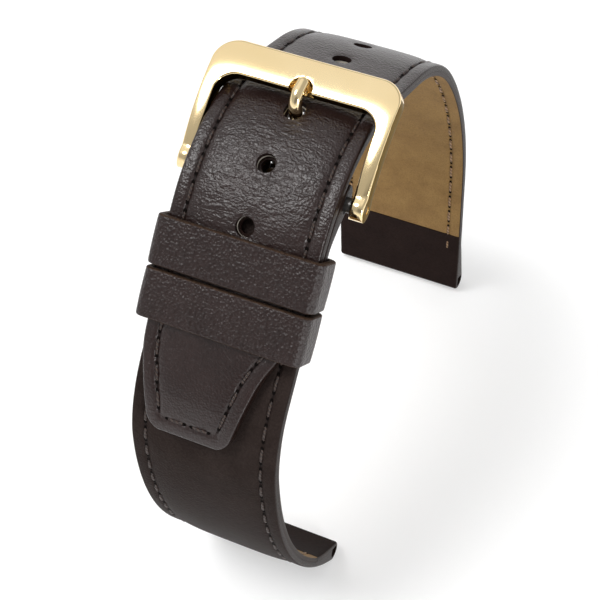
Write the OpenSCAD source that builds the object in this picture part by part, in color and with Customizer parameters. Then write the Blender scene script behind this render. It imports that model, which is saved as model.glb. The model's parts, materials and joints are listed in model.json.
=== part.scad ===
// Leather watch strap, fastened, standing on its two lug ends.
// X is across the strap, +Y points away from the buckle side and Z is up.
// The origin is on the surface it stands on, in the middle of its outer box.
// Both pieces of leather follow one line, the wrist line, as a chain of tangent
// arcs. A place on the strap is s along that line from the far lug end, x
// across it and n outwards from it.

/* [Leather] */
// Width at the watch
lug_w = 20; // [18:0.5:24]
// Width from the buckle to the tail
buckle_w = 19; // [17:0.1:20]
// Length of the long piece, the one with the holes
long_l = 124; // [112:0.5:135]
// Length of the short piece, the one with the buckle
short_l = 81; // [72:1:85]
// Thickness of the outer leather
top_t = 0.75; // [0.65:0.05:1]
// Thickness of the lining
lining_t = 0.65; // [0.6:0.05:0.9]
// Height of the padding at the middle of the strap
puff = 0.3; // [0.2:0.05:0.6]
// Film of glue between two layers
glue = 0.03; // [0.02:0.01:0.05]
// Space between the tail and the short piece under it
lay_gap = 0.12; // [0.1:0.02:0.3]
// Length at full width from each lug end
lug_straight = 8; // [4:1:14]
// Place along the long piece where the taper ends
taper_end = 62; // [50:1:74]
// Length of the short piece at the buckle's width
short_straight = 28; // [27.5:0.5:36]

/* [Lug ends] */
// Radius of the channel for the watch's spring bar
lug_bore_r = 0.9; // [0.75:0.05:1]
// Thickness of the leather turned round that channel
lug_wall = 0.55; // [0.45:0.05:0.7]
// Length of the leather turned in over the lining
wrap_l = 13; // [9:0.5:18]
// Length over which the thicker lug end thins out
lug_blend = 9; // [6:0.5:12]

/* [Tail and holes] */
// Diameter of a hole
hole_d = 2.4; // [2:0.1:2.6]
// Distance from hole to hole
hole_pitch = 7; // [6.5:0.1:7.5]
// Number of holes
hole_n = 6; // [4:1:7]
// Distance from the tail's tip to the first hole
first_hole = 26.3; // [25:0.1:29]
// Hole that the tongue is in, counted from the tip
used_hole = 3; // [3:1:3]
// Length that the used hole is drawn to
used_hole_l = 3.4; // [3.2:0.1:3.8]
// Width of the blunt tip
tip_w = 10.2; // [8:0.2:13]
// Length of the narrowing towards the tip
tip_l = 17; // [10:0.5:17]
// Radius of the tip's corners
tip_r = 1.8; // [1:0.1:3]
// How far the tail leans to the left below the loops
tail_lean = 1.4; // [0:0.1:1.6]

/* [Seams] */
// Distance of the seam from the edge
seam_in = 1.9; // [1.6:0.05:2.2]
// Distance from stitch to stitch
stitch_pitch = 3.2; // [2.8:0.1:4]
// Part of that distance that a stitch covers
stitch_share = 0.74; // [0.6:0.02:0.85]
// Width of the thread
thread_w = 0.44; // [0.36:0.02:0.46]
// Depth of the groove that the thread lies in
groove_d = 0.34; // [0.3:0.02:0.4]

/* [Shape of the loop] */
// Length of the shoulder, the first bend of the long piece
shoulder_l = 29; // [22:0.5:34]
// Radius of the shoulder
shoulder_r = 49; // [44:0.5:60]
// Length of the crown
crown_l = 14.8; // [12:0.5:18]
// Radius of the crown
crown_r = 24; // [21:0.5:30]
// Straight length between the crown and the buckle
top_l = 9.1; // [6:0.2:12]
// Radius of the bend under the buckle
brow_r = 17.8; // [16.6:0.2:19]
// Length of that bend before the spring bar
brow_before = 15; // [14.5:0.1:16.5]
// Length of that bend after the spring bar
brow_after = 6.8; // [6:0.1:7.2]
// Straight length along the loops
run_l = 18; // [17:0.5:22]
// Length of the belly, below the tail
belly_l = 12.4; // [9:0.2:15]
// Radius of the belly
belly_r = 18.9; // [17:0.1:26]
// Radius of the last stretch to the near lug end
toe_r = 52; // [42:0.5:60]

/* [Buckle] */
// Distance from the spring bar to the frame's outer edge
frame_l = 14.9; // [14.6:0.1:16]
// Width of the frame's top bar
bar_w = 4.3; // [4:0.1:4.8]
// Thickness of the frame, bowed as it is
frame_t = 2.2; // [2:0.1:2.6]
// Width of an arm
arm_w = 1.7; // [1.5:0.1:2.2]
// Space between the strap's edge and an arm
arm_gap = 0.5; // [0.45:0.05:0.6]
// How far the buckle is pushed to the right in that play
buckle_push = 0.35; // [0:0.05:0.4]
// Radius that the frame is bowed to
frame_bow = 24; // [22:1:32]
// Radius of the frame's outer corners
corner_r = 3; // [2:0.2:4]
// Radius of the window's corners
window_r = 1.7; // [1:0.1:2.4]
// Radius of the rounded ends of the arms
arm_end_r = 1.5; // [1.3:0.05:1.8]
// Width of the notch that the tongue rests in
notch_w = 2.9; // [2.6:0.1:3.2]

/* [Tongue and spring bar] */
// Diameter of the tongue
tongue_d = 1.6; // [1.4:0.05:1.7]
// Radius of the spring bar's tube
tube_r = 0.9; // [0.85:0.01:0.95]
// Wall of that tube
tube_wall = 0.25; // [0.2:0.01:0.3]
// Running clearance round the tube
run_gap = 0.06; // [0.04:0.01:0.08]
// Thickness of the leather round the tube
fold_wall = 0.64; // [0.5:0.02:0.7]
// Length of the leather folded back behind the tube
fold_l = 9; // [7:0.5:12]
// Length over which the thick fold thins out
fold_blend = 6; // [4:0.5:7]
// Gap where a turned or folded end meets the lining
butt_gap = 0.1; // [0.06:0.02:0.2]
// Space between the padding and a lug channel
pad_gap = 0.15; // [0.1:0.05:0.5]
// Radius of a pin's tip
tip_pin_r = 0.42; // [0.35:0.01:0.45]

/* [Loops] */
// Width of a loop along the strap
keeper_w = 5.9; // [4.6:0.1:6.2]
// Thickness of a loop
keeper_t = 0.85; // [0.8:0.05:1.2]
// Space between a loop and the leather inside it
keeper_gap = 0.15; // [0.12:0.01:0.25]
// Distance from the spring bar to the fixed loop
keeper_from = 7.2; // [7:0.1:8]
// Space between the two loops at rest
keeper_apart = 0.4; // [0.3:0.05:0.8]
// Length of the lap where a loop's ends are sewn together
lap_l = 9; // [7:0.5:12]

/* [Hidden] */

// Colours
leather_c = [0.25, 0.21, 0.2];
inner_leather_c = [0.18, 0.14, 0.13];
lining_c = [0.56, 0.45, 0.3];
padding_c = [0.8, 0.76, 0.68];
thread_c = [0.13, 0.1, 0.1];
lining_thread_c = [0.45, 0.33, 0.2];
gold_c = [0.93, 0.8, 0.55];
steel_c = [0.75, 0.76, 0.78];

// Places along the strap. The turned ends stand a hair proud of the flat leather
// that runs into them
hair = 0.03;
lug_r = lug_bore_r + lug_wall;
fold_r = tube_r + run_gap + fold_wall;
window_l = frame_l - bar_w;
tongue_reach = window_l - 2.6;
tongue_shank = window_l - 5.65;
used_s =long_l - first_hole - (used_hole - 1) * hole_pitch;
bar_s = used_s + tongue_reach;
total_l = bar_s + short_l;
bar_n = -(fold_r + lay_gap + 0.02);
keeper1_s = bar_s + keeper_from;
keeper2_s = keeper1_s + keeper_w + keeper_apart;
edge_t = top_t + lining_t + glue;
body_t = edge_t + puff;

// Chain of arcs: length and radius of each, where a radius of 0 is straight
back_l = bar_s - brow_before - top_l - crown_l - shoulder_l;
brow_l = brow_before + brow_after;
toe_l = short_l - brow_after - run_l - belly_l;
ARCS = [[back_l, 0], [shoulder_l, shoulder_r], [crown_l, crown_r], [top_l, 0],
    [brow_l, brow_r], [run_l, 0], [belly_l, belly_r], [toe_l, toe_r]];

function step(p, radius, d) = radius == 0
    ? [p.x + d * cos(p.z), p.y + d * sin(p.z), p.z]
    : let (a = p.z + d / radius * 180 / PI)
        [p.x + radius * (sin(a) - sin(p.z)), p.y - radius * (cos(a) - cos(p.z)), a];
function starts(i = 0, p = [0, 0, 90], s = 0) = i == len(ARCS) ? [] :
    concat([[s, p]], starts(i + 1, step(p, ARCS[i][1], ARCS[i][0]), s + ARCS[i][0]));
START = starts();
function arc_of(s) = max([for (i = [0 : len(ARCS) - 1]) s >= START[i][0] || i == 0 ? i : 0]);
function raw(s) = let (i = arc_of(s)) step(START[i][1], ARCS[i][1], s - START[i][0]);
function off(p, n) = [p.x + n * sin(p.z), p.y - n * cos(p.z)];

// The loop is turned until both lug channels are at one height, then moved
far_n = lug_r - hair;
near_n = -lay_gap - lug_r + hair;
raw_far = off(raw(lug_r), far_n);
raw_near = off(raw(total_l - lug_r), near_n);
loop_turn = -atan2(raw_far.y - raw_near.y, raw_far.x - raw_near.x);
function turned(p) = [p.x * cos(loop_turn) - p.y * sin(loop_turn),
    p.x * sin(loop_turn) + p.y * cos(loop_turn)];
rise = lug_r - turned(raw_far).y;
function outer_n(s) = s < taper_end + 40 ? body_t : -lay_gap + puff;
keeper_out = edge_t + puff + keeper_gap + keeper_t;
reach_y = concat([turned(raw_far).x + lug_r],
    [for (s = [lug_r : 0.5 : total_l - lug_r]) turned(off(raw(s), outer_n(s))).x],
    [for (s = [keeper1_s, keeper2_s + keeper_w]) turned(off(raw(s), keeper_out)).x]);
mid_y = (min(reach_y) + max(reach_y)) / 2;

// Point [y, z] and heading of the wrist line, and a point [x, y, z] beside it
function at(s) = let (p = raw(s), q = turned(p)) [q.x - mid_y, q.y + rise, p.z + loop_turn];
function place(s, x, n) = let (q = off(at(s), n)) [x - buckle_push, q.x, q.y];

// Half width of the long piece, with the trapezoid of its tip
function blend(a, b, t) = a + (b - a) * min(max(t, 0), 1);
function half_w(s) = blend(lug_w, buckle_w, (s - lug_straight) / (taper_end - lug_straight)) / 2;
function corner_cut(d) = d < tip_r ? tip_r - sqrt(tip_r * tip_r - (tip_r - d) * (tip_r - d)) : 0;
function long_half(s) = let (d = long_l - s)
    blend(tip_w / 2, half_w(s), d / tip_l) - corner_cut(max(d, 0));
function short_half(s) = blend(lug_w, buckle_w,
    (total_l - lug_straight - s) / (total_l - lug_straight - bar_s - short_straight)) / 2;

// The long piece's middle, which leaves the strap's middle line below the loops
tip_from = long_l - tip_l;
function lean(s) = let (t = blend(0, 1, 2 * (s - tip_from) / tip_l)) -tail_lean * t * t * (3 - 2 * t);
function leaned(s, ring) = [for (q = ring) [q.x + lean(s), q.y]];

// Thickness at the edge, thicker at the lug ends and at the fold round the tube
lug_edge = 2 * lug_r - 2 * hair;
function long_edge(s) = blend(lug_edge, edge_t, (s - lug_r) / lug_blend);
function short_edge(s) = max(blend(lug_edge, edge_t, (total_l - lug_r - s) / lug_blend),
    blend(2 * fold_r - hair, edge_t, (s - bar_s) / fold_blend));

// Padding: none under the tail's tip, in the short piece's part below it, or at the ends
function long_puff(s) = puff * blend(0, 1, (s - 2 * lug_r) / 6) * blend(0.45, 1, (long_l - s) / 20);
function short_puff(s) = puff * blend(0, 1, (s - long_l - 1) / 5)
    * blend(0, 1, (total_l - 2 * lug_r - s) / 6);
function dome(u) = pow(max(1 - u * u, 0), 1.5);

// Sections run over their upper side from left to right and back below. The
// domed middle has points at these shares of the width inside the seams, and
// the padding reaches to the outermost of them
CROSS = [-0.8, -0.4, 0, 0.4, 0.8];
pad_in = seam_in + 0.75;
groove_half = 0.42;
edge_round = 0.35;
strip_round = 0.2;
function groove(x, n, d, way = 1) =
    [[x - way * groove_half, n], [x, n - d], [x + way * groove_half, n]];
function over(w, n, p, d) = let (f = w - pad_in, x = w - seam_in) concat(
    [[-w, n - edge_round], [-w + edge_round, n]], groove(-x, n, d),
    [for (u = CROSS) [u * f, n + p * dome(u)]],
    groove(x, n, d), [[w - edge_round, n], [w, n - edge_round]]);
function under(w, n, p) = let (f = w - pad_in, x = w - seam_in) concat(
    [[w, n], [x, n]], [for (u = CROSS) [-u * f, n + p * dome(u)]], [[-x, n], [-w, n]]);

// Outer leather, hollow where the padding goes. The seam's groove ends where
// the seam across the tip is
tip_seam = long_l - seam_in;
over_n = 15;
function long_groove(s) = s > tip_seam ? 0 : groove_d;
function long_skin(s) = let (w = long_half(s), e = long_edge(s), p = long_puff(s), low = lining_t + glue)
    leaned(s, concat(over(w, e, p, long_groove(s)), under(w, low, e + p - top_t - low)));
function short_skin(s) = let (w = short_half(s), e = short_edge(s), p = short_puff(s),
    low = -lay_gap - e + lining_t + glue, hollow = s > long_l + 1 ? 1 : 0)
    concat(over(w, -lay_gap, p, groove_d), under(w, low, hollow * (p - lay_gap - top_t - low)));

// Strip of leather or lining on the wrist side, with the grooves of its seams
strip_n = 2;
function strip(w, n, d) = let (x = w - seam_in) concat(
    [[-w, n + lining_t], [w, n + lining_t], [w, n + strip_round], [w - strip_round, n]],
    groove(x, n, -d, -1), groove(-x, n, -d, -1), [[-w + strip_round, n], [-w, n + strip_round]]);
function long_strip(s) = leaned(s, strip(long_half(s), 0, long_groove(s)));
function short_strip(s) = strip(short_half(s), -lay_gap - short_edge(s), groove_d);

// Padding between the two
pad_n = 5;
function pad(w, n, p) = let (f = w - pad_in, x = CROSS[4] * f)
    concat([for (u = CROSS) [u * f, n + p * dome(u)]], [[x, n], [-x, n]]);
function long_pad(s) = let (n = lining_t + glue)
    leaned(s, pad(long_half(s), n, long_edge(s) + long_puff(s) - top_t - n - glue));
function short_pad(s) = let (n = -lay_gap - short_edge(s) + lining_t + glue)
    pad(short_half(s), n, short_puff(s) - lay_gap - top_t - n - glue);

// Places of the sections, also where the outline turns, and closer round the
// tip's corners. Layers that lie on each other share them
place_gap = 2.1;
function along(marks) = concat([marks[0]], [for (i = [1 : len(marks) - 1])
    let (a = marks[i - 1], d = marks[i] - a, n = ceil(d / place_gap)) for (k = [1 : n]) a + d * k / n]);
function between(places, a, b) =
    concat([a], [for (s = places) if (s > a + 0.5 && s < b - 0.5) s], [b]);
CORNER = [for (a = [10, 30, 50, 70, 86]) long_l - tip_r * (1 - sin(a))];
LONG = concat(along([lug_r, lug_r + lug_blend, long_l - tip_l, tip_seam - 0.45, tip_seam + 0.05]), CORNER);
SHORT = along([bar_s, bar_s + fold_blend, long_l + 1, total_l - lug_r - lug_blend, total_l - lug_r]);

// End face of a section whose upper side has t points: triangles between its
// upper and its lower side, taken from left to right
function end_face(ring, t, i = 0, j = 0) = let (k = len(ring), low = k - 1 - j)
    i == t - 1 && low == t ? [] :
    low > t && (i == t - 1 || ring[low - 1].x <= ring[i + 1].x)
        ? concat([[i, low - 1, low]], end_face(ring, t, i, j + 1))
        : concat([[i, i + 1, low]], end_face(ring, t, i + 1, j));
// Closed solid through sections, each a list of [x, n] at its own place. Its
// quads are split the same way on both sides, so layers fit on each other
module skin(rings, places, t) {
    k = len(rings[0]);
    m = len(rings);
    points = [for (i = [0 : m - 1], q = rings[i]) place(places[i], q.x, q.y)];
    sides = [for (i = [0 : m - 2], j = [0 : k - 1]) let (a = i * k + j, b = i * k + (j + 1) % k)
        each j < t - 1 ? [[a, b + k, a + k], [a, b, b + k]] : [[a, b, a + k], [b, b + k, a + k]]];
    first = [for (f = end_face(rings[0], t)) [f[2], f[1], f[0]]];
    last = [for (f = end_face(rings[m - 1], t)) [for (v = f) v + (m - 1) * k]];
    polyhedron(points, concat(sides, first, last), convexity = 10);
}

// Something placed on the wrist line: its X across, its Y back along the strap
// and its Z outwards
module on_strap(s, n = 0, x = 0) {
    p = place(s, x, n);
    translate(p) rotate([at(s).z - 180, 0, 0]) children();
}
module across(r, l) {
    rotate([40, 0, 0]) rotate([0, 90, 0]) cylinder(r = r, h = l, center = true, $fn = 64);
}

// Holes of the tail, the used one drawn out along the strap
module holes() {
    for (i = [0 : hole_n - 1]) {
        s = long_l - first_hole - i * hole_pitch;
        on_strap(s) {
            if (i == used_hole - 1) used_hole_shape();
            else translate([0, 0, -1]) cylinder(d = hole_d, h = 2 * body_t, $fn = 48);
        }
    }
}
module used_hole_shape() {
    half = (used_hole_l - hole_d) / 2;
    for (y = [-half, half]) translate([0, y, -1]) cylinder(d = hole_d, h = 2 * body_t, $fn = 48);
    translate([-hole_d / 2, -half, -1]) cube([hole_d, 2 * half, 2 * body_t]);
}

// Long piece
module far_channel(r, l) {
    on_strap(lug_r, far_n) across(r, l);
}
module long_top_leather() {
    turned_in = between(LONG, lug_r, wrap_l - butt_gap / 2);
    color(leather_c) difference() {
        union() {
            skin([for (s = LONG) long_skin(s)], LONG, over_n);
            skin([for (s = turned_in) long_strip(s)], turned_in, strip_n);
            far_channel(lug_r, lug_w + hair);
        }
        far_channel(lug_bore_r, lug_w + 2);
        holes();
        tip_groove(long_edge(tip_seam), 1);
    }
}
module long_padding() {
    places = [for (s = LONG) if (s > 2 * lug_r + pad_gap && s < long_l - 4) s];
    color(padding_c) difference() {
        skin([for (s = places) long_pad(s)], places, pad_n);
        holes();
    }
}
module long_lining() {
    places = concat([wrap_l + butt_gap / 2], [for (s = LONG) if (s > wrap_l + 0.5) s]);
    color(lining_c) difference() {
        skin([for (s = places) long_strip(s)], places, strip_n);
        holes();
        tip_groove(0, -1);
    }
}

// Short piece, from the fold round the tube to the near lug end
module near_channel(r, l) {
    on_strap(total_l - lug_r, near_n) across(r, l);
}
module short_top_leather() {
    folded = between(SHORT, bar_s, bar_s + fold_l - butt_gap / 2);
    turned_in = between(SHORT, total_l - wrap_l + butt_gap / 2, total_l - lug_r);
    color(leather_c) difference() {
        union() {
            skin([for (s = SHORT) short_skin(s)], SHORT, over_n);
            skin([for (s = folded) short_strip(s)], folded, strip_n);
            skin([for (s = turned_in) short_strip(s)], turned_in, strip_n);
            on_strap(bar_s, bar_n) across(fold_r, buckle_w + hair);
            near_channel(lug_r, lug_w + hair);
        }
        on_strap(bar_s, bar_n) across(tube_r + run_gap, buckle_w + 2);
        near_channel(lug_bore_r, lug_w + 2);
        tongue_slot();
    }
}
// Slot in the fold, where the tongue goes round the tube
module tongue_slot() {
    slot_w = tongue_d + 1.4;
    slot_l = 2 * fold_r + 2.2;
    on_strap(bar_s, bar_n)
        translate([-slot_w / 2, -fold_r - 1.1, -2 * fold_r]) cube([slot_w, slot_l, 4 * fold_r]);
}
module short_padding() {
    places = [for (s = SHORT) if (s > long_l + 1.5 && s < total_l - 2 * lug_r - pad_gap) s];
    color(padding_c) skin([for (s = places) short_pad(s)], places, pad_n);
}
module short_lining() {
    places = between(SHORT, bar_s + fold_l + butt_gap / 2, total_l - wrap_l - butt_gap / 2);
    color(lining_c) skin([for (s = places) short_strip(s)], places, strip_n);
}

// One stitch between two points of a seam, lying in its groove: each end is
// [s, x, n of the face], and up is 1 on the outer face and -1 on the lining
thread_in = 0.1;
thread_under = 0.14;
module stitch(a, b, up) {
    d = [b[0] - a[0], b[1] - a[1]];
    side = [-d.y, d.x] / norm(d) * thread_w / 2;
    top = -thread_in * up;
    low = -(groove_d - thread_under) * up;
    ring = function (e) [[e[0] + side.x, e[1] + side.y, e[2] + top],
        [e[0] - side.x, e[1] - side.y, e[2] + top], [e[0], e[1], e[2] + low]];
    points = [for (q = concat(ring(a), ring(b))) place(q[0], q[1], q[2])];
    faces = up > 0
        ? [[0, 1, 2], [5, 4, 3], [0, 3, 4, 1], [1, 4, 5, 2], [2, 5, 3, 0]]
        : [[2, 1, 0], [3, 4, 5], [1, 4, 3, 0], [2, 5, 4, 1], [0, 3, 5, 2]];
    polyhedron(points, faces);
}
// A row of stitches along both edges between two places, where half gives the
// half width there, mid the middle and face the height of the face
module rows(from, to, half, mid, face, up) {
    n = round((to - from) / stitch_pitch);
    pitch = (to - from) / n;
    for (i = [0 : n - 1], side = [-1, 1]) {
        a = from + (i + (1 - stitch_share) / 2) * pitch;
        b = a + pitch * stitch_share;
        ends = [for (s = [a, b]) [s, mid(s) + side * (half(s) - seam_in), face(s)]];
        stitch(ends[0], ends[1], up);
    }
}
// The row across the tail's tip, and the groove that it lies in
tip_reach = tip_w / 2 - seam_in;
module tip_row(face, up) {
    n = max(2, round(2 * tip_reach / stitch_pitch));
    pitch = 2 * tip_reach / n;
    for (i = [0 : n - 1]) {
        a = lean(tip_seam) - tip_reach + (i + (1 - stitch_share) / 2) * pitch;
        stitch([tip_seam, a, face], [tip_seam, a + pitch * stitch_share, face], up);
    }
}
module tip_groove(face, up) {
    on_strap(tip_seam, face, lean(tip_seam)) rotate([0, 90, 0])
        linear_extrude(2 * tip_reach, center = true)
        polygon([[groove_d * up, 0], [-groove_d * up, -2 * groove_half], [-groove_d * up, 2 * groove_half]]);
}
module long_thread() color(thread_c) {
    for (ends = [[lug_blend, tip_from], [tip_from, tip_seam - 0.5]])
        rows(ends[0], ends[1], function (s) long_half(s), function (s) lean(s), function (s) long_edge(s), 1);
    tip_row(long_edge(tip_seam), 1);
}
module long_lining_thread() color(lining_thread_c) {
    for (ends = [[lug_blend, tip_from], [tip_from, tip_seam - 0.5]])
        rows(ends[0], ends[1], function (s) long_half(s), function (s) lean(s), function (s) 0, -1);
    tip_row(0, -1);
}
short_seam_from = bar_s + fold_blend * 5 / 6;
module short_thread() {
    color(thread_c) rows(short_seam_from, total_l - lug_blend, function (s) short_half(s), function (s) 0,
        function (s) -lay_gap, 1);
}
module short_lining_thread() {
    color(lining_thread_c) rows(short_seam_from, total_l - lug_blend, function (s) short_half(s),
        function (s) 0, function (s) -lay_gap - short_edge(s), -1);
}

// Loops: a band round both pieces, its ends lapped on the wrist side
module round_rect(w, h, r) {
    square([w - 2 * r, h], center = true);
    square([w, h - 2 * r], center = true);
    for (x = [-1, 1], y = [-1, 1])
        translate([x * (w / 2 - r), y * (h / 2 - r)]) circle(r = r, $fn = 48);
}
keeper_in_w = buckle_w + 2 * keeper_gap;
keeper_top = body_t + keeper_gap;
keeper_bottom = -lay_gap - edge_t - keeper_gap;
lap_t = 0.7;
module keeper_outline() {
    h = keeper_top - keeper_bottom;
    translate([0, (keeper_top + keeper_bottom) / 2]) difference() {
        round_rect(keeper_in_w + 2 * keeper_t, h + 2 * keeper_t, keeper_t + 0.3);
        round_rect(keeper_in_w, h, 0.35);
    }
}
module keeper(s) {
    on_strap(s + keeper_w) rotate([90, 0, 0]) mirror([0, 0, 1]) {
        linear_extrude(keeper_w) keeper_outline();
        translate([-lap_l / 2, keeper_bottom - keeper_t - lap_t, 0.15])
            cube([lap_l, lap_t, keeper_w - 0.3]);
    }
}
// Four stitches through the lap of a loop
module keeper_stitches(s) {
    thread_h = 0.25;
    face = keeper_bottom - keeper_t - lap_t - thread_h - 0.02;
    for (x = [-1, 1], y = [0.25, 0.6])
        on_strap(s + keeper_w)
            translate([x * lap_l * 0.38 - thread_w / 2, y * keeper_w - 0.1, face])
                cube([thread_w, keeper_w * 0.26, thread_h]);
}
module fixed_keeper() color(leather_c) keeper(keeper1_s);
module fixed_keeper_thread() color(thread_c) keeper_stitches(keeper1_s);
module free_keeper() color(leather_c) keeper(keeper2_s);
module free_keeper_thread() color(thread_c) keeper_stitches(keeper2_s);

// Buckle: its own frame has the spring bar at the origin, Y towards the top bar
// and Z outwards. The frame is turned about the spring bar until the lower inner
// edge of its top bar lies just over the tail, which bends round a centre below
bow_z =2.05 - frame_bow;
bow_y = frame_l * 0.48;
inner_bow = frame_bow - frame_t;
rest_z = bow_z + sqrt(inner_bow * inner_bow - (window_l - bow_y) * (window_l - bow_y));
rest_r = norm([window_l, rest_z]);
pivot_r = brow_r + bar_n;
tail_r = brow_r + long_edge(used_s) + long_puff(used_s) + 0.12;
rest_cos = (pivot_r * pivot_r + rest_r * rest_r - tail_r * tail_r) / (2 * pivot_r * rest_r);
frame_lift = acos(rest_cos) - 90 - atan2(rest_z, window_l);
module on_frame() {
    on_strap(bar_s, bar_n, buckle_push) rotate([frame_lift, 0, 0]) children();
}
frame_in = buckle_w / 2 + arm_gap;
frame_out = frame_in + arm_w;
arm_hole_r = tip_pin_r + run_gap;
module frame_plan() {
    difference() {
        translate([0, (frame_l - arm_end_r) / 2])
            round_rect(2 * frame_out, frame_l + arm_end_r, corner_r);
        translate([0, -frame_l / 2]) square([2 * frame_out + 1, frame_l], center = true);
        translate([0, (window_l - frame_l) / 2]) round_rect(2 * frame_in, window_l + frame_l, window_r);
    }
    for (x = [-1, 1])
        translate([x * (frame_in + arm_w / 2) - arm_w / 2, -arm_end_r - 0.1]) square([arm_w, frame_l / 2]);
}
// Side view: the bowed band of the frame and the round ends of its arms
module frame_side() {
    intersection() {
        translate([bow_y, bow_z]) difference() {
            circle(r = frame_bow, $fn = 240);
            circle(r = inner_bow, $fn = 240);
        }
        square([frame_l, 4 * frame_t], center = false);
    }
    intersection() {
        translate([bow_y, bow_z]) difference() {
            circle(r = frame_bow, $fn = 240);
            circle(r = inner_bow, $fn = 240);
        }
        translate([0, -2 * frame_t]) square([frame_l, 2 * frame_t]);
    }
    circle(r = arm_end_r, $fn = 64);
}
notch_floor = 0.35;
module buckle_frame() {
    color(gold_c) on_frame() difference() {
        intersection() {
            linear_extrude(2 * frame_l, center = true) frame_plan();
            rotate([90, 0, 90]) translate([0, 0, -frame_out]) linear_extrude(2 * frame_out) frame_side();
        }
        across(arm_hole_r, 2 * frame_out + 2);
        translate([0, window_l + 0.35, notch_floor]) cylinder(d = notch_w, h = 5, $fn = 48);
        translate([-notch_w / 2, window_l - 1, notch_floor]) cube([notch_w, 1.35, 5]);
    }
}

// Tongue: an eye round the tube, a shank under the tail, a bend up through the
// hole and a bend over into the notch. Each stretch starts where the last ended
tongue_r = tongue_d / 2;
eye_in = tube_r + run_gap;
eye_out = eye_in + 0.7;
eye_w = tongue_d + 0.4;
rise_r = 2;
rise_a = 72;
rise_l = 1.7;
over_r = 1.5;
over_a = 85;
over_l = 1;
// Points [y, z, heading] along an arc of a radius, which turns down if negative
function bend(p, radius, turn, n = 8) =
    [for (i = [0 : n]) step(p, radius, abs(radius) * turn * PI / 180 * i / n)];
shank_end = step([1, -0.45, -10], 0, tongue_shank);
RISE = bend(shank_end, rise_r, rise_a);
OVER = bend(step(RISE[8], 0, rise_l), -over_r, over_a);
tip_start = step(OVER[8], 0, over_l);
// The rod's line with its radius at each point, drawn in to a round tip
ROD = concat([for (p = concat([[1, -0.45, -10]], RISE, OVER)) [p, tongue_r]],
    [for (a = [0 : 20 : 80]) [step(tip_start, 0, tongue_r * sin(a)), tongue_r * cos(a)]]);
rod_sides = 16;
module rod() {
    k = rod_sides;
    m = len(ROD);
    points = [for (q = ROD, j = [0 : k - 1]) let (a = 360 * j / k, up = q[1] * sin(a))
        [q[1] * cos(a), q[0].x - up * sin(q[0].z), q[0].y + up * cos(q[0].z)]];
    sides = [for (i = [0 : m - 2], j = [0 : k - 1]) let (a = i * k + j, b = i * k + (j + 1) % k)
        each [[a, b + k, a + k], [a, b, b + k]]];
    ends = [for (j = [1 : k - 2], e = [0, (m - 1) * k]) e == 0 ? [0, j + 1, j] : [e, e + j, e + j + 1]];
    polyhedron(points, concat(sides, ends), convexity = 6);
}
module buckle_tongue() {
    color(gold_c) on_frame() difference() {
        union() {
            across(eye_out, eye_w);
            rod();
        }
        across(eye_in, eye_w + 2);
    }
}

// Spring bar: a tube with turned-in ends, a coil and a pin at each end
tube_l = 2 * frame_in - 0.3;
tube_in = tube_r - tube_wall;
lip_in = tip_pin_r + run_gap;
lip_l = 0.5;
pin_body_r = tube_in - run_gap;
pin_body_l = 2.6;
pin_out = frame_out - 0.15;
coil_r = 0.1;
coil_mid_r = tube_in - coil_r - 0.08;
module spring_bar_tube() {
    color(steel_c) on_strap(bar_s, bar_n, buckle_push) rotate([0, 90, 0]) difference() {
        cylinder(r = tube_r, h = tube_l, center = true, $fn = 64);
        cylinder(r = tube_in, h = tube_l - 2 * lip_l, center = true, $fn = 64);
        cylinder(r = lip_in, h = tube_l + 1, center = true, $fn = 64);
    }
}
pin_in = tube_l / 2 - lip_l - 0.02;
module pin(side) {
    color(steel_c) on_strap(bar_s, bar_n, buckle_push) rotate([0, side * 90, 0]) {
        translate([0, 0, pin_in - pin_body_l]) cylinder(r = pin_body_r, h = pin_body_l, $fn = 64);
        translate([0, 0, pin_in - 0.01]) cylinder(r = tip_pin_r, h = pin_out - pin_in, $fn = 48);
    }
}
module spring_bar_pin_left() pin(-1);
module spring_bar_pin_right() pin(1);

// The coil, one unbroken wire between the two pins
coil_turns = 12;
coil_sides = 6;
coil_steps = 8;
coil_l = 2 * (pin_in - pin_body_l) - 2 * coil_r - 0.1;
function coil_ring(i) = let (a = 360 * i / coil_steps, n = coil_turns * coil_steps,
    x = (i / n - 0.5) * coil_l)
    [for (j = [0 : coil_sides - 1]) let (b = 360 * j / coil_sides,
        r = coil_mid_r + coil_r * cos(b))
        [x + coil_r * sin(b), r * cos(a), r * sin(a)]];
function wire(i) = let (a = 360 * i / coil_steps)
    [(i / (coil_turns * coil_steps) - 0.5) * coil_l, coil_mid_r * cos(a), coil_mid_r * sin(a)];
coil_gap = min([for (i = [0 : coil_steps], k = [coil_steps / 2 : 2 * coil_steps])
    norm(wire(i) - wire(i + k))]) - 2 * coil_r;
echo("least gap between the turns of the coil", coil_gap);
echo("tilt of the buckle's frame", at(bar_s).z - 180 + frame_lift);
echo("length along the wrist line", total_l);
module spring_bar_coil() {
    n = coil_turns * coil_steps;
    k = coil_sides;
    points = [for (i = [0 : n]) each coil_ring(i)];
    sides = [for (i = [0 : n - 1], j = [0 : k - 1]) let (a = i * k + j, b = i * k + (j + 1) % k)
        each [[a, b, b + k], [a, b + k, a + k]]];
    ends = [for (j = [1 : k - 2]) each [[0, j + 1, j], [n * k, n * k + j, n * k + j + 1]]];
    color(steel_c) on_strap(bar_s, bar_n, buckle_push)
        polyhedron(points, concat(sides, ends), convexity = 20);
}

long_top_leather();
long_padding();
long_lining();
long_thread();
long_lining_thread();
short_top_leather();
short_padding();
short_lining();
short_thread();
short_lining_thread();
fixed_keeper();
fixed_keeper_thread();
free_keeper();
free_keeper_thread();
buckle_frame();
buckle_tongue();
spring_bar_tube();
spring_bar_coil();
spring_bar_pin_left();
spring_bar_pin_right();
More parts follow.
